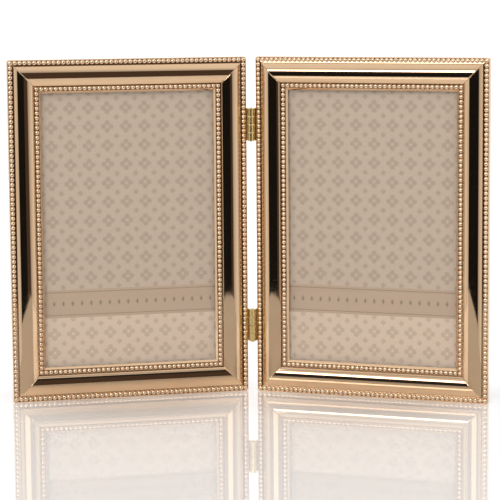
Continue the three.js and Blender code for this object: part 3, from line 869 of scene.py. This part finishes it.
# %% One bead and the web
BEAD_TOP = 1.36
BEAD_HALF_HEIGHT = 0.85
BEAD_FOOT = 0.12
BEAD_SIDES = 16
BEAD_RINGS = 7
WEB_HALF_WIDTH = 0.55
WEB_HEIGHT = 0.5
WEB_STEPS = 6
PAINTED_SHADE_HEIGHT = 0.4


def add_bead(bm, x, z, radius, floor, painted_shade):
    """A dome whose top stands clear of the channel's floor, from its foot to its crown."""
    middle = floor - BEAD_TOP + BEAD_HALF_HEIGHT
    foot_angle = math.acos((floor - BEAD_FOOT - middle) / BEAD_HALF_HEIGHT)
    rings = []
    for i in range(BEAD_RINGS):
        angle = foot_angle + (math.pi - foot_angle) * i / BEAD_RINGS
        points = circle((x, z), radius * math.sin(angle), BEAD_SIDES)
        depth = middle + BEAD_HALF_HEIGHT * math.cos(angle)
        rings.append([(px, depth, pz) for px, pz in points])
    groove = bm.verts.layers.float[SHADE_ATTRIBUTE]
    made = [[bm.verts.new(point) for point in ring] for ring in rings]
    # Painted shade at the foot of the bead, fading out above the channel floor.
    for ring in made:
        for vertex in ring:
            vertex[groove] = painted_shade * max(0.0, 1 - (floor - vertex.co.y) / PAINTED_SHADE_HEIGHT)
    crown = bm.verts.new((x, middle - BEAD_HALF_HEIGHT, z))
    bm.faces.new(made[0])
    for near, far in zip(made, made[1:]):
        for i in range(BEAD_SIDES):
            j = (i + 1) % BEAD_SIDES
            bm.faces.new((near[i], near[j], far[j], far[i]))
    for i in range(BEAD_SIDES):
        bm.faces.new((made[-1][i], made[-1][(i + 1) % BEAD_SIDES], crown))


def add_web(bm, inset, pitch, floor, painted_shade):
    """Half round loop that joins the beads, mitred at the corners."""
    base = floor - BEAD_FOOT
    section = [(WEB_HALF_WIDTH * math.cos(math.pi * i / WEB_STEPS),
                base - WEB_HEIGHT * math.sin(math.pi * i / WEB_STEPS)) for i in range(WEB_STEPS + 1)]
    rings = []
    for side, parts in SIDES.items():
        rings.append([on_side(side, inset + offset, inset + offset, depth) for offset, depth in section])
        for along in (inset + pitch, parts["length"] - inset - pitch):
            rings.append([on_side(side, along, inset + offset, depth) for offset, depth in section])
    # The web between the beads takes the full painted shade.
    groove = bm.verts.layers.float[SHADE_ATTRIBUTE]
    for ring in loft(bm, rings, closed=True):
        for vertex in ring:
            vertex[groove] = painted_shade


print("a bead has", BEAD_RINGS * BEAD_SIDES + 1, "points")

# %% Beaded wires


def beaded_wire(hand, kind):
    """All the beads of one channel and the web that joins them, as one piece."""
    size = BEADS[kind]
    bm = bmesh.new()
    bm.verts.layers.float.new(SHADE_ATTRIBUTE)
    for x, _, z in bead_centres(size["inset"], size["pitch"]):
        add_bead(bm, x, z, size["radius"], size["floor"], size["painted_shade"])
    add_web(bm, size["inset"], size["pitch"], size["floor"], size["painted_shade"])
    name = f"{hand}_{kind}"
    return piece(f"{name}_wire", bm, hand, f"{hand}_frame", BRIGHTENED_BEAD_GOLD, name)


wires = [beaded_wire(hand, kind) for hand in HANDS for kind in BEADS]
print("wires", [made.name for made in wires])

# %% [markdown]
# ## Glass, print and back panel
#
# Behind the lip lies a pack of flat sheets: glass, print, hardboard and the velvet glued to it.
# Each takes its place from its solid. A cut sheet is never quite sharp, so each is drawn as one
# rounded rectangle lofted through its thickness, with its edges eased by as much as such a sheet
# has: a ground arris on the glass, almost nothing on paper, a soft roll on velvet.

# %% Sheets of the pack
SHEETS = {
    "glass": {"finish": GLASS, "slot": "clear_glass", "corner": 0.6, "edge": 0.25},
    "print": {"finish": PAPER, "slot": "printed_paper", "corner": 0.3, "edge": 0.03},
    "backing_board": {"finish": HARDBOARD, "slot": "hardboard", "corner": 0.8, "edge": 0.2},
    "velvet_cover": {"finish": VELVET, "slot": "black_velvet", "corner": 1.2, "edge": 0.28},
}
EDGE_STEPS = 3


def eased(front, back, edge):
    """(depth, inset) of the rings that round both edges of a sheet."""
    turns = [math.pi / 2 * i / EDGE_STEPS for i in range(EDGE_STEPS + 1)]
    face = [(front + edge * (1 - math.sin(a)), edge * (1 - math.cos(a))) for a in reversed(turns)]
    rear = [(back - edge * (1 - math.sin(a)), edge * (1 - math.cos(a))) for a in turns]
    return face + rear


def sheet(hand, kind):
    """One flat sheet of the pack, where its solid lies."""
    size = SHEETS[kind]
    low, high = flat_box(f"right_{kind}")
    radius = size["corner"]
    rings = []
    for depth, inset in eased(low.y, high.y, size["edge"]):
        outline = rounded([
            (low.x + inset, low.z + inset, radius),
            (high.x - inset, low.z + inset, radius),
            (high.x - inset, high.z - inset, radius),
            (low.x + inset, high.z - inset, radius),
        ])
        rings.append([(x, depth, z) for x, z in outline])
    bm = bmesh.new()
    loft(bm, rings)
    name = f"{hand}_{kind}"
    return piece(f"{name}_sheet", bm, hand, f"{hand}_frame", size["finish"], name)


sheets = [sheet(hand, kind) for hand in HANDS for kind in SHEETS]
print("sheets", [made.name for made in sheets])

# %% [markdown]
# ## Turn buttons and rivets
#
# Four stamped brass tongues on the back of each frame turn on rivets and press the panel home. A
# tongue is a plate between two arcs with a hole at its pivot. Its outline can be drawn a little
# smaller by shrinking both arcs, so the same loft that eased the sheets rolls its edges. A rivet
# is a profile spun about its own axis.

# %% Turn buttons
BUTTON_REACH = 9.0
BUTTON_PIVOT_RADIUS = 3.0
BUTTON_TIP_RADIUS = 2.2
BUTTON_INSET = 6.2
BUTTON_EDGE = 0.2
BUTTON_HOLE = 1.3
BUTTON_ARC_STEPS = 18


def button_outline(shrink):
    """Tongue round a pivot at the origin, pointing along +y, drawn smaller by the shrink."""
    pivot = BUTTON_PIVOT_RADIUS - shrink
    tip = BUTTON_TIP_RADIUS - shrink
    lean = math.asin((pivot - tip) / BUTTON_REACH)
    points = []
    for i in range(BUTTON_ARC_STEPS + 1):
        angle = math.pi - lean + (math.pi + 2 * lean) * i / BUTTON_ARC_STEPS
        points.append((pivot * math.cos(angle), pivot * math.sin(angle)))
    for i in range(BUTTON_ARC_STEPS + 1):
        angle = lean + (math.pi - 2 * lean) * i / BUTTON_ARC_STEPS
        points.append((tip * math.cos(angle), BUTTON_REACH + tip * math.sin(angle)))
    return points


def turn_button(hand, side):
    """One tongue with its hole, in the middle of a side."""
    low, high = flat_box(f"right_{side}_turn_button")
    front, back = low.y, high.y
    middle = SIDES[side]["length"] / 2
    outline = button_outline(0)
    hole = [tuple(Vector(point).normalized() * BUTTON_HOLE) for point in outline]
    rings = [[on_side(side, middle + x, BUTTON_INSET + y, front) for x, y in hole]]
    for depth, shrink in eased(front, back, BUTTON_EDGE):
        outline = button_outline(shrink)
        rings.append([on_side(side, middle + x, BUTTON_INSET + y, depth) for x, y in outline])
    rings.append([on_side(side, middle + x, BUTTON_INSET + y, back) for x, y in hole])
    bm = bmesh.new()
    loft(bm, rings, closed=True)
    name = f"{hand}_{side}_turn_button"
    return piece(f"{name}_tongue", bm, hand, f"{hand}_{side}_button", BRASS, name)


buttons = [turn_button(hand, side) for hand in HANDS for side in SIDES]
print("turn buttons", len(buttons))

# %% Rivets
RIVET_RADIUS = 1.1
RIVET_TAIL_RADIUS = 1.8
RIVET_HEAD_RADIUS = 1.85
RUNNING_GAP = 0.2
TAIL_EASE_IN = 0.3
TAIL_EASE_UP = 0.2
HEAD_EASE_IN = 0.1
HEAD_EASE_UP = 0.08
ROUND_SIDES = 40
DOME_STEPS = 8


def rivet(hand, side):
    """A shank with an eased tail inside the moulding and a domed head over its button."""
    low, high = flat_box(f"right_{side}_rivet")
    head_front = flat_box(f"right_{side}_turn_button")[1].y + RUNNING_GAP
    tail_back = FLANGE_FRONT - RUNNING_GAP
    dome_foot = head_front + HEAD_EASE_UP
    profile = [
        (RIVET_TAIL_RADIUS - TAIL_EASE_IN, low.y),
        (RIVET_TAIL_RADIUS, low.y + TAIL_EASE_UP),
        (RIVET_TAIL_RADIUS, tail_back),
        (RIVET_RADIUS, tail_back),
        (RIVET_RADIUS, head_front),
        (RIVET_HEAD_RADIUS - HEAD_EASE_IN, head_front),
    ]
    for i in range(DOME_STEPS):
        angle = math.pi / 2 * i / DOME_STEPS
        depth = dome_foot + (high.y - dome_foot) * math.sin(angle)
        profile.append((RIVET_HEAD_RADIUS * math.cos(angle), depth))
    middle = SIDES[side]["length"] / 2
    rings = []
    for radius, depth in profile:
        points = circle((middle, BUTTON_INSET), radius, ROUND_SIDES)
        rings.append([on_side(side, along, inset, depth) for along, inset in points])
    bm = bmesh.new()
    loft(bm, rings)
    name = f"{hand}_{side}_rivet"
    return piece(f"{name}_turned", bm, hand, f"{hand}_frame", BRASS, name)


rivets = [rivet(hand, side) for hand in HANDS for side in SIDES]
print("rivets", len(rivets))

# %% [markdown]
# ## Hinges
#
# Each hinge is two brass leaves screwed to the sides of the stiles. Every second knuckle belongs
# to the same leaf, and a knuckle is the leaf's own sheet rolled round the pin. So its section is
# drawn as a strip that runs straight along the stile, then turns most of a circle at the sheet's
# thickness. The pin is drawn over its ends with small domes, and the screws are countersunk with a
# slot.

# %% Section of a knuckle
HINGE_AXIS = (-HINGE_SETBACK / MM, -AXIS_LEAD / MM)
KNUCKLE_RADIUS = 1.6
LEAF_THICKNESS = 0.7
ROLL_TURN = math.radians(332)
ROLL_STEPS = 36


def rolled_strip(shrink, plate_end):
    """Section of a knuckle as (x, depth): a strip along the stile, rolled round the pin."""
    x, depth = HINGE_AXIS
    outer = KNUCKLE_RADIUS - shrink
    inner = KNUCKLE_RADIUS - LEAF_THICKNESS + shrink
    points = [(x + inner, plate_end), (x + outer, plate_end)]
    turns = [ROLL_TURN * i / ROLL_STEPS for i in range(ROLL_STEPS + 1)]
    points += [(x + outer * math.cos(a), depth - outer * math.sin(a)) for a in turns]
    points += [(x + inner * math.cos(a), depth - inner * math.sin(a)) for a in reversed(turns)]
    return points


print("hinge axis at", tuple(round(value, 2) for value in HINGE_AXIS), "mm in the flat drawing")

# %% Hinge leaves
LEVELS = ("lower", "upper")
KNUCKLE_COUNT = 4
FIRST_KNUCKLE = {"right": 0, "left": 1}
KNUCKLE_GAP = 0.2
KNUCKLE_EDGE = 0.18
KNUCKLE_CLEARANCE = 0.15
ROLL_OVERLAP = 0.6
LEAF_EDGE = 0.15
LEAF_CORNER = 1.0
LEAF_FRONT_CORNER = 0.3
SEAT_GAP = 0.2


def leaf(hand, level):
    """One leaf: its plate on the stile and every second knuckle."""
    node = f"{hand}_{level}_hinge_leaf"
    low, high = flat_box(f"right_{level}_hinge_leaf")
    bottom, top = low.z, high.z
    wall_side = -SEAT_GAP
    gap_side = wall_side - LEAF_THICKNESS
    plate_front = KNUCKLE_RADIUS + KNUCKLE_CLEARANCE - AXIS_LEAD / MM
    bm = bmesh.new()
    rings = []
    for x, inset in eased(gap_side, wall_side, LEAF_EDGE):
        outline = rounded([
            (plate_front + inset, bottom + inset, LEAF_FRONT_CORNER),
            (high.y - inset, bottom + inset, LEAF_CORNER),
            (high.y - inset, top - inset, LEAF_CORNER),
            (plate_front + inset, top - inset, LEAF_FRONT_CORNER),
        ])
        rings.append([(x, depth, z) for depth, z in outline])
    loft(bm, rings)
    pitch = (top - bottom) / KNUCKLE_COUNT
    for i in range(FIRST_KNUCKLE[hand], KNUCKLE_COUNT, len(HANDS)):
        start = bottom + i * pitch + KNUCKLE_GAP / 2
        end = bottom + (i + 1) * pitch - KNUCKLE_GAP / 2
        rings = []
        for z, shrink in eased(start, end, KNUCKLE_EDGE):
            strip = rolled_strip(shrink, plate_front + ROLL_OVERLAP)
            rings.append([(x, depth, z) for x, depth in strip])
        loft(bm, rings)
    return piece(f"{node}_rolled", bm, hand, f"{hand}_frame", BRASS, node)


leaves = [leaf(hand, level) for hand in HANDS for level in LEVELS]
print("hinge leaves", [made.name for made in leaves])

# %% Hinge pins
PIN_RADIUS = 0.72
PIN_HEAD_RADIUS = 0.95
PIN_HEAD_HEIGHT = 0.4
PIN_DOME = 0.34


def hinge_pin(level):
    """A pin with a small dome at each end, riding with the left frame."""
    low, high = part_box(f"{level}_hinge_pin")
    bottom, top = low.z / MM, high.z / MM
    turns = [math.pi / 2 * i / DOME_STEPS for i in range(DOME_STEPS)]
    ends = [(PIN_HEAD_RADIUS * math.cos(a), PIN_DOME * math.sin(a)) for a in turns]
    profile = [(radius, bottom + PIN_DOME - rise) for radius, rise in reversed(ends)]
    profile += [(PIN_RADIUS, bottom + PIN_HEAD_HEIGHT), (PIN_RADIUS, top - PIN_HEAD_HEIGHT)]
    profile += [(radius, top - PIN_DOME + rise) for radius, rise in ends]
    rings = []
    for radius, z in profile:
        rings.append([(x, depth, z) for x, depth in circle(HINGE_AXIS, radius, ROUND_SIDES)])
    bm = bmesh.new()
    loft(bm, rings)
    return piece(f"{level}_hinge_pin_domed", bm, "left", "left_frame", BRASS, f"{level}_hinge_pin")


pins = [hinge_pin(level) for level in LEVELS]
print("pins", [made.name for made in pins])

# %% Hinge screws
SCREW_NUMBERS = (1, 2)
SCREW_HEAD_RADIUS = 1.3
SCREW_HEAD_EASE = 0.05
SCREW_HEAD_DEPTH = 0.5
SCREW_RADIUS = 0.7
SCREW_TIP_RADIUS = 0.08
SCREW_PROUD = 0.06
SLOT_WIDTH = 0.36
SLOT_DEPTH = 0.22
SLOT_STEPS = 12


def hinge_screw(hand, level, number):
    """A countersunk screw. Two half discs on its head leave the slot between them."""
    name = f"{level}_hinge_screw_{number}"
    low, high = flat_box(f"right_{name}")
    depth, height = (low.y + high.y) / 2, (low.z + high.z) / 2
    face = low.x - SCREW_PROUD
    profile = [
        (SCREW_HEAD_RADIUS - SCREW_HEAD_EASE, face + SLOT_DEPTH),
        (SCREW_RADIUS, face + SCREW_HEAD_DEPTH),
        (SCREW_RADIUS, high.x - SCREW_RADIUS),
        (SCREW_TIP_RADIUS, high.x),
    ]
    bm = bmesh.new()
    rings = []
    for radius, x in profile:
        rings.append([(x, depth + a, height + b) for a, b in circle((0, 0), radius, ROUND_SIDES)])
    loft(bm, rings)
    reach = math.asin(SLOT_WIDTH / 2 / SCREW_HEAD_RADIUS)
    for turn in (0, math.pi):
        angles = [turn + reach + (math.pi - 2 * reach) * i / SLOT_STEPS for i in range(SLOT_STEPS + 1)]
        half = [(SCREW_HEAD_RADIUS * math.cos(a), SCREW_HEAD_RADIUS * math.sin(a)) for a in angles]
        loft(bm, [[(x, depth + a, height + b) for a, b in half] for x in (face, face + SLOT_DEPTH)])
    return piece(f"{hand}_{name}_slotted", bm, hand, f"{hand}_frame", BRASS, f"{hand}_{name}")


screws = []
for hand in HANDS:
    for level in LEVELS:
        screws += [hinge_screw(hand, level, number) for number in SCREW_NUMBERS]
print("screws", len(screws))

# %% [markdown]
# ## Corner keys
#
# The keys inside the moulding keep their own solids: flat L plates look right as they are and
# never show. They only trade their plain colour for zinc.

# %% Finish of the corner keys
keys = [node for name, node in frame["nodes"].items() if name.endswith("_key")]
for key in keys:
    key.data.materials.clear()
    key.data.materials.append(ZINC)
print("corner keys", len(keys))

# %% [markdown]
# ## World and floor
#
# The frames stand in even daylight on a glossy white acrylic sheet. A white plane would only need a
# colour, but polished acrylic also mirrors the feet faintly, so it is a smooth plastic under a
# clear coat. Its front edge is bowed, because the metal shows where the sheet ends: that line runs
# through every moulding. The sheet gets a faint glow of its own, so that it stays white to the
# camera, reflections and glass. The glow is weaker around the feet, which paints a soft shadow
# there, and a little stronger behind the frames, which paints light on the sheet behind them.

# %% Daylight
DAYLIGHT = 0.65
WHITE = (1, 1, 1, 1)


def seen_directly(tree):
    """One where a surface is seen by the camera, in a reflection or through glass."""
    path = add(tree, "ShaderNodeLightPath")
    shown = add(tree, "ShaderNodeMath", {"operation": "MAXIMUM"},
                {0: path.outputs["Is Camera Ray"], 1: path.outputs["Is Glossy Ray"]})
    seen = add(tree, "ShaderNodeMath", {"operation": "MAXIMUM"},
               {0: shown.outputs[0], 1: path.outputs["Is Transmission Ray"]})
    return seen.outputs[0]


def plain_world():
    """Even daylight all round, pure white where it is seen directly."""
    world = bpy.data.worlds.new("white_tent")
    bpy.context.scene.world = world
    world.use_nodes = True
    tree = world.node_tree
    level = add(tree, "ShaderNodeMapRange", {"To Min": DAYLIGHT, "To Max": 1.0},
                {"Value": seen_directly(tree)})
    background = tree.nodes["Background"]
    background.inputs["Color"].default_value = WHITE
    tree.links.new(level.outputs[0], background.inputs["Strength"])
    return world


print("world", plain_world().name)

# %% White acrylic
# Cast acrylic, polished: a white body under a hard mirror gloss, with hardly any unevenness.
ACRYLIC_LIGHT = linear("#fbfaf9")
ACRYLIC_DEEP = linear("#f9f8f7")
ACRYLIC_BODY = {"Roughness": 0.0, "IOR": 1.6, "Coat Weight": 0.6, "Coat Roughness": 0.0}
CLOUD_SIZE = 333
FLOOR_LIFT = 0.15
# The glow paints a shadow around the feet, where it sinks to the foot level, and paints light behind the
# frames, where it rises to the back level.
SHADOWED_FOOT_GLOW = 0.03
PAINTED_LIGHT_BEHIND = 0.3
PAINTED_LIGHT_FADE = 60
PAINTED_SHADOW_MIDDLE = Vector((62, 0, 0))
PAINTED_SHADOW_REACH = Vector((62, 70, 1000))
PAINTED_SHADOW_FADE = {"From Min": 0.5, "From Max": 1.2}


def floor_glow_painted_shadow_and_light(tree, place):
    """How much the sheet glows at a place: least around the feet, a painted shadow, and most behind the
    frames, painted light.
    """
    either_side = add(tree, "ShaderNodeVectorMath", {"operation": "ABSOLUTE"}, {0: place})
    from_foot = add(tree, "ShaderNodeVectorMath", {"operation": "SUBTRACT", 1: PAINTED_SHADOW_MIDDLE * MM},
                    {0: either_side.outputs[0]})
    shares = add(tree, "ShaderNodeVectorMath", {"operation": "DIVIDE", 1: PAINTED_SHADOW_REACH * MM},
                 {0: from_foot.outputs[0]})
    away = add(tree, "ShaderNodeVectorMath", {"operation": "LENGTH"}, {0: shares.outputs[0]})
    along = add(tree, "ShaderNodeSeparateXYZ", None, {0: place})
    # Painted light on the sheet behind the frames.
    behind = add(tree, "ShaderNodeMapRange",
                 {"From Max": PAINTED_LIGHT_FADE * MM, "To Min": FLOOR_LIFT, "To Max": PAINTED_LIGHT_BEHIND},
                 {"Value": along.outputs["Y"]})
    # Painted shadow around the feet.
    around = add(tree, "ShaderNodeMapRange", {**PAINTED_SHADOW_FADE, "To Min": SHADOWED_FOOT_GLOW},
                 {"Value": away.outputs["Value"], "To Max": behind.outputs[0]})
    return around.outputs[0]


def white_acrylic():
    """The sheet's own finish, with its glow added where it is seen directly."""
    material, tree, shader, place = finish("acrylic_white_polished", ACRYLIC_BODY)
    cloud = add(tree, "ShaderNodeTexNoise", {"Scale": 1 / (CLOUD_SIZE * MM), "Detail": 1.0},
                {"Vector": place})
    tint = add(tree, "ShaderNodeMix", {"data_type": "RGBA", MIX_A: ACRYLIC_DEEP, MIX_B: ACRYLIC_LIGHT},
               {0: cloud.outputs[0]})
    tree.links.new(tint.outputs[MIX_RESULT], shader.inputs["Base Color"])
    # The glow carries the painted shadow around the feet and the painted light behind the frames.
    lift = add(tree, "ShaderNodeMath", {"operation": "MULTIPLY"},
               {0: floor_glow_painted_shadow_and_light(tree, place), 1: seen_directly(tree)})
    glow = add(tree, "ShaderNodeEmission", {"Color": WHITE}, {"Strength": lift.outputs[0]})
    white = add(tree, "ShaderNodeAddShader", None, {0: shader.outputs[0], 1: glow.outputs[0]})
    tree.links.new(white.outputs[0], tree.nodes["Material Output"].inputs["Surface"])
    return material


ACRYLIC = white_acrylic()
print("floor", ACRYLIC.name)

# %% Floor with a bowed front edge
FLOOR_FRONT = -200
FLOOR_HALF_WIDTH = 20000
FLOOR_REACH = 40000
BOW_MIDDLE = -15
BOW_HALF_WIDTH = 225
BOW = 145
BOW_STEPS = 24


def card(name, corners, material):
    """A flat card from its corners in millimetres."""
    mesh = bpy.data.meshes.new(name)
    mesh.from_pydata([Vector(corner) * MM for corner in corners], [], [tuple(range(len(corners)))])
    mesh.materials.append(material)
    made = bpy.data.objects.new(name, mesh)
    bpy.context.scene.collection.objects.link(made)
    return made


bow = [math.pi * i / BOW_STEPS for i in range(BOW_STEPS + 1)]
floor = card("floor", [
    (-FLOOR_HALF_WIDTH, FLOOR_FRONT, 0),
    *[(BOW_MIDDLE - BOW_HALF_WIDTH * math.cos(a), FLOOR_FRONT - BOW * math.sin(a), 0) for a in bow],
    (FLOOR_HALF_WIDTH, FLOOR_FRONT, 0),
    (FLOOR_HALF_WIDTH, FLOOR_REACH, 0),
    (-FLOOR_HALF_WIDTH, FLOOR_REACH, 0),
], ACRYLIC)
print("floor with", len(floor.data.vertices), "corners")

# %% [markdown]
# ## What the metal sees
#
# Polished metal is a picture of its surroundings. Streaks painted on the plate would stay in place
# when a frame turns, so the surroundings are built instead, as glowing cards. White walls and a
# roof that fades towards its front stand around the frames. Beyond the edge of the floor lies a
# dark room, which draws the black bands along the mouldings and is a dusky brown on the right. Two
# softboxes above the walls, a panel and a lamp in front and a lamp at the left add the white lines.
# The cards are seen by reflections only, so that they neither light the object nor show behind it.
# The floor is a perfect mirror and looks through most of them, which keeps it white.

# %% How a card glows
FIRST_MIRROR = 1.0
SECOND_MIRROR = 2.0
NEUTRAL = (1.0, 1.0, 1.0)


def glow_along_y(tree, stops, tint):
    """Emission that runs through its stops, each a y in millimetres and a glow."""
    place = add(tree, "ShaderNodeTexCoord").outputs["Object"]
    along = add(tree, "ShaderNodeSeparateXYZ", None, {0: place}).outputs["Y"]
    first, last = stops[0][0], stops[-1][0]
    share = add(tree, "ShaderNodeMapRange", {"From Min": first * MM, "From Max": last * MM},
                {"Value": along})
    fade = add(tree, "ShaderNodeValToRGB", None, {0: share.outputs[0]})
    elements = fade.color_ramp.elements
    while len(elements) < len(stops):
        elements.new(1.0)
    for element, (y, glow) in zip(elements, stops):
        element.position = (y - first) / (last - first)
        element.color = (*[glow * channel for channel in tint], 1.0)
    return add(tree, "ShaderNodeEmission", None, {"Color": fade.outputs[0]})


def even(glow):
    """Stops of a card that glows evenly."""
    return (-1, glow), (1, glow)


print("an even card has the stops", even(1.0))

# %% Cards that only reflections see


def card_finish(name, stops, mirrored, later, tint):
    """The glow of one card. A second reflection sees the later level. The floor's mirror looks
    through the card, or sees it white, and at the mirrored level by way of the metal."""
    material = bpy.data.materials.new(name)
    material.use_nodes = True
    tree = material.node_tree
    tree.nodes.remove(tree.nodes["Principled BSDF"])
    glow = glow_along_y(tree, stops, tint)
    path = add(tree, "ShaderNodeLightPath")
    mirrors = path.outputs["Ray Depth"]
    if later is not None:
        halfway = (FIRST_MIRROR + SECOND_MIRROR) / 2
        again = add(tree, "ShaderNodeMath", {"operation": "GREATER_THAN", 1: halfway}, {0: mirrors})
        veil = add(tree, "ShaderNodeEmission", {"Strength": later})
        glow = add(tree, "ShaderNodeMixShader", None,
                   {0: again.outputs[0], 1: glow.outputs[0], 2: veil.outputs[0]})
    if mirrored is None:
        in_floor = add(tree, "ShaderNodeBsdfTransparent")
    else:
        level = add(tree, "ShaderNodeMapRange",
                    {"From Min": FIRST_MIRROR, "From Max": SECOND_MIRROR,
                     "To Min": 1.0, "To Max": mirrored},
                    {"Value": mirrors})
        in_floor = add(tree, "ShaderNodeEmission", None, {"Strength": level.outputs[0]})
    mixed = add(tree, "ShaderNodeMixShader", None,
                {0: path.outputs["Is Singular Ray"], 1: glow.outputs[0], 2: in_floor.outputs[0]})
    tree.links.new(mixed.outputs[0], tree.nodes["Material Output"].inputs["Surface"])
    return material


def reflected_only(name, corners, stops, mirrored=None, later=None, tint=NEUTRAL):
    """A card for the metal to reflect, hidden from everything else."""
    made = card(name, corners, card_finish(name, stops, mirrored, later, tint))
    made.visible_camera = False
    made.visible_diffuse = False
    made.visible_transmission = False
    made.visible_shadow = False
    return made


def standing(start, end, low, high):
    """Corners of an upright card between two points on the floor plan."""
    return [(*start, low), (*end, low), (*end, high), (*start, high)]


def lying(left, right, front, back, height):
    """Corners of a level card."""
    return [(left, front, height), (right, front, height), (right, back, height), (left, back, height)]


print("a wall has", len(standing((0, 0), (1, 0), low=0, high=1)), "corners")

# %% Dark room beyond the floor
ROOM_Y = -1300
ROOM_HALF_WIDTH = 1800
ROOM_FOOT_LEFT = -711
ROOM_FOOT_RIGHT = -106
HORIZON = 120
ROOM_TOP = 1500
DUSK_Y = -1295
DUSK_LEFT = 430
DUSK_TINT = (1.0, 0.73, 0.58)
CARPET_Y = -1400
CARPET_HALF_WIDTH = 3000
DARK_GLOW = 0.01
DIM_GLOW = 0.03
DUSK_GLOW = 0.075
CARPET_GLOW = 0.75
ROOM_LEVELS = {"mirrored": 0.12, "later": 0.45}

room_left, room_right = (-ROOM_HALF_WIDTH, ROOM_Y), (ROOM_HALF_WIDTH, ROOM_Y)
dusk_left, dusk_right = (DUSK_LEFT, DUSK_Y), (ROOM_HALF_WIDTH, DUSK_Y)
carpet_left, carpet_right = (-CARPET_HALF_WIDTH, CARPET_Y), (CARPET_HALF_WIDTH, CARPET_Y)
sloping_foot = [
    (*room_left, ROOM_FOOT_LEFT),
    (*room_right, ROOM_FOOT_RIGHT),
    (*room_right, HORIZON),
    (*room_left, HORIZON),
]
room = [
    reflected_only("dark_room", sloping_foot, even(DARK_GLOW), **ROOM_LEVELS),
    reflected_only("dim_room", standing(room_left, room_right, low=HORIZON, high=ROOM_TOP),
                   even(DIM_GLOW), **ROOM_LEVELS),
    reflected_only("dusk_room", standing(dusk_left, dusk_right, low=-340, high=900),
                   even(DUSK_GLOW), **ROOM_LEVELS, tint=DUSK_TINT),
    reflected_only("room_floor", standing(carpet_left, carpet_right, low=-4000, high=0), even(CARPET_GLOW)),
]
print("dark cards", [made.name for made in room])

# %% White walls and roof
TENT_BACK = 400
ROOF_HEIGHT = 255
ROOF_HALF_WIDTH = 600
ROOF_FRONT = -195
LEFT_WALL_X, LEFT_WALL_FRONT = -192, -182
RIGHT_WALL_X, RIGHT_WALL_FRONT = 194, -300
LEFT_WALL_FADE = [(LEFT_WALL_FRONT, 0.6), (-130, 0.8), (-20, 0.95)]
RIGHT_WALL_FADE = [(RIGHT_WALL_FRONT, 0.15), (-250, 0.48), (-212, 0.62), (-157, 0.74),
                   (-61, 0.92), (0, 1.0)]
ROOF_FADE = [(ROOF_FRONT, 0.4), (-178, 0.48), (-134, 0.7), (-103, 0.86), (-80, 0.94), (0, 1.0)]


def wall(name, x, front, fade):
    """An upright white card that runs from its front edge to the back of the tent."""
    return reflected_only(name, standing((x, front), (x, TENT_BACK), low=0, high=ROOF_HEIGHT), fade)


roof_corners = lying(-ROOF_HALF_WIDTH, ROOF_HALF_WIDTH, ROOF_FRONT, TENT_BACK, ROOF_HEIGHT)
tent = [
    wall("left_wall", LEFT_WALL_X, LEFT_WALL_FRONT, LEFT_WALL_FADE),
    wall("right_wall", RIGHT_WALL_X, RIGHT_WALL_FRONT, RIGHT_WALL_FADE),
    reflected_only("roof", roof_corners, ROOF_FADE),
]
print("white cards", [made.name for made in tent])

# %% Softboxes, panel and lamps
SOFTBOX_DROP = 1
SOFTBOX_PLACE = {"front": ROOF_FRONT, "back": 200, "height": ROOF_HEIGHT - SOFTBOX_DROP}
SOFTBOX_GLOW = 4.0
PANEL_Y = -1250
PANEL_GLOW = 1.4
FRONT_LAMP_Y = -1245
FRONT_LAMP_GLOW = 12.0
SIDE_LAMP_PLAN = ((-560, -640), (-220, -725))
SIDE_LAMP_TOP = 530
SIDE_LAMP_GLOW = 5.5
SIDE_WALL_GLOW = 0.85

lights = [
    reflected_only("left_softbox", lying(left=-500, right=-165, **SOFTBOX_PLACE), even(SOFTBOX_GLOW)),
    reflected_only("right_softbox", lying(left=165, right=500, **SOFTBOX_PLACE), even(SOFTBOX_GLOW)),
    reflected_only("front_panel", standing((-450, PANEL_Y), (350, PANEL_Y), low=230, high=1400),
                   even(PANEL_GLOW)),
    reflected_only("front_lamp", standing((-400, FRONT_LAMP_Y), (-100, FRONT_LAMP_Y), low=480, high=760),
                   even(FRONT_LAMP_GLOW)),
    reflected_only("side_lamp", standing(*SIDE_LAMP_PLAN, low=317, high=SIDE_LAMP_TOP),
                   even(SIDE_LAMP_GLOW), mirrored=SIDE_LAMP_GLOW),
    reflected_only("side_lamp_wall", standing(*SIDE_LAMP_PLAN, low=SIDE_LAMP_TOP, high=1300),
                   even(SIDE_WALL_GLOW)),
]
print("bright cards", [made.name for made in lights])

# %% [markdown]
# ## Soft light
#
# Daylight alone leaves paper and velvet flat. One wide lamp high in front gives them a soft side
# and the floor a soft shadow. The metal doesn't see it: its lines come from the cards alone.

# %% Soft light
KEY_PLACE = Vector((-200, -1300, 800)) * MM
KEY_SIZE = 1200 * MM
KEY_POWER = 9.0

key_lamp = bpy.data.objects.new("key_lamp", bpy.data.lights.new("key_lamp", "AREA"))
key_lamp.data.size = KEY_SIZE
key_lamp.data.energy = KEY_POWER
key_lamp.location = KEY_PLACE
aim = Vector((0, 0, cad_high.z / 2))
key_lamp.rotation_euler = (aim - KEY_PLACE).to_track_quat("-Z", "Y").to_euler()
key_lamp.visible_glossy = False
key_lamp.visible_transmission = False
bpy.context.scene.collection.objects.link(key_lamp)
bpy.context.scene.view_settings.view_transform = "Standard"
print("key lamp", key_lamp.data.energy, "W")
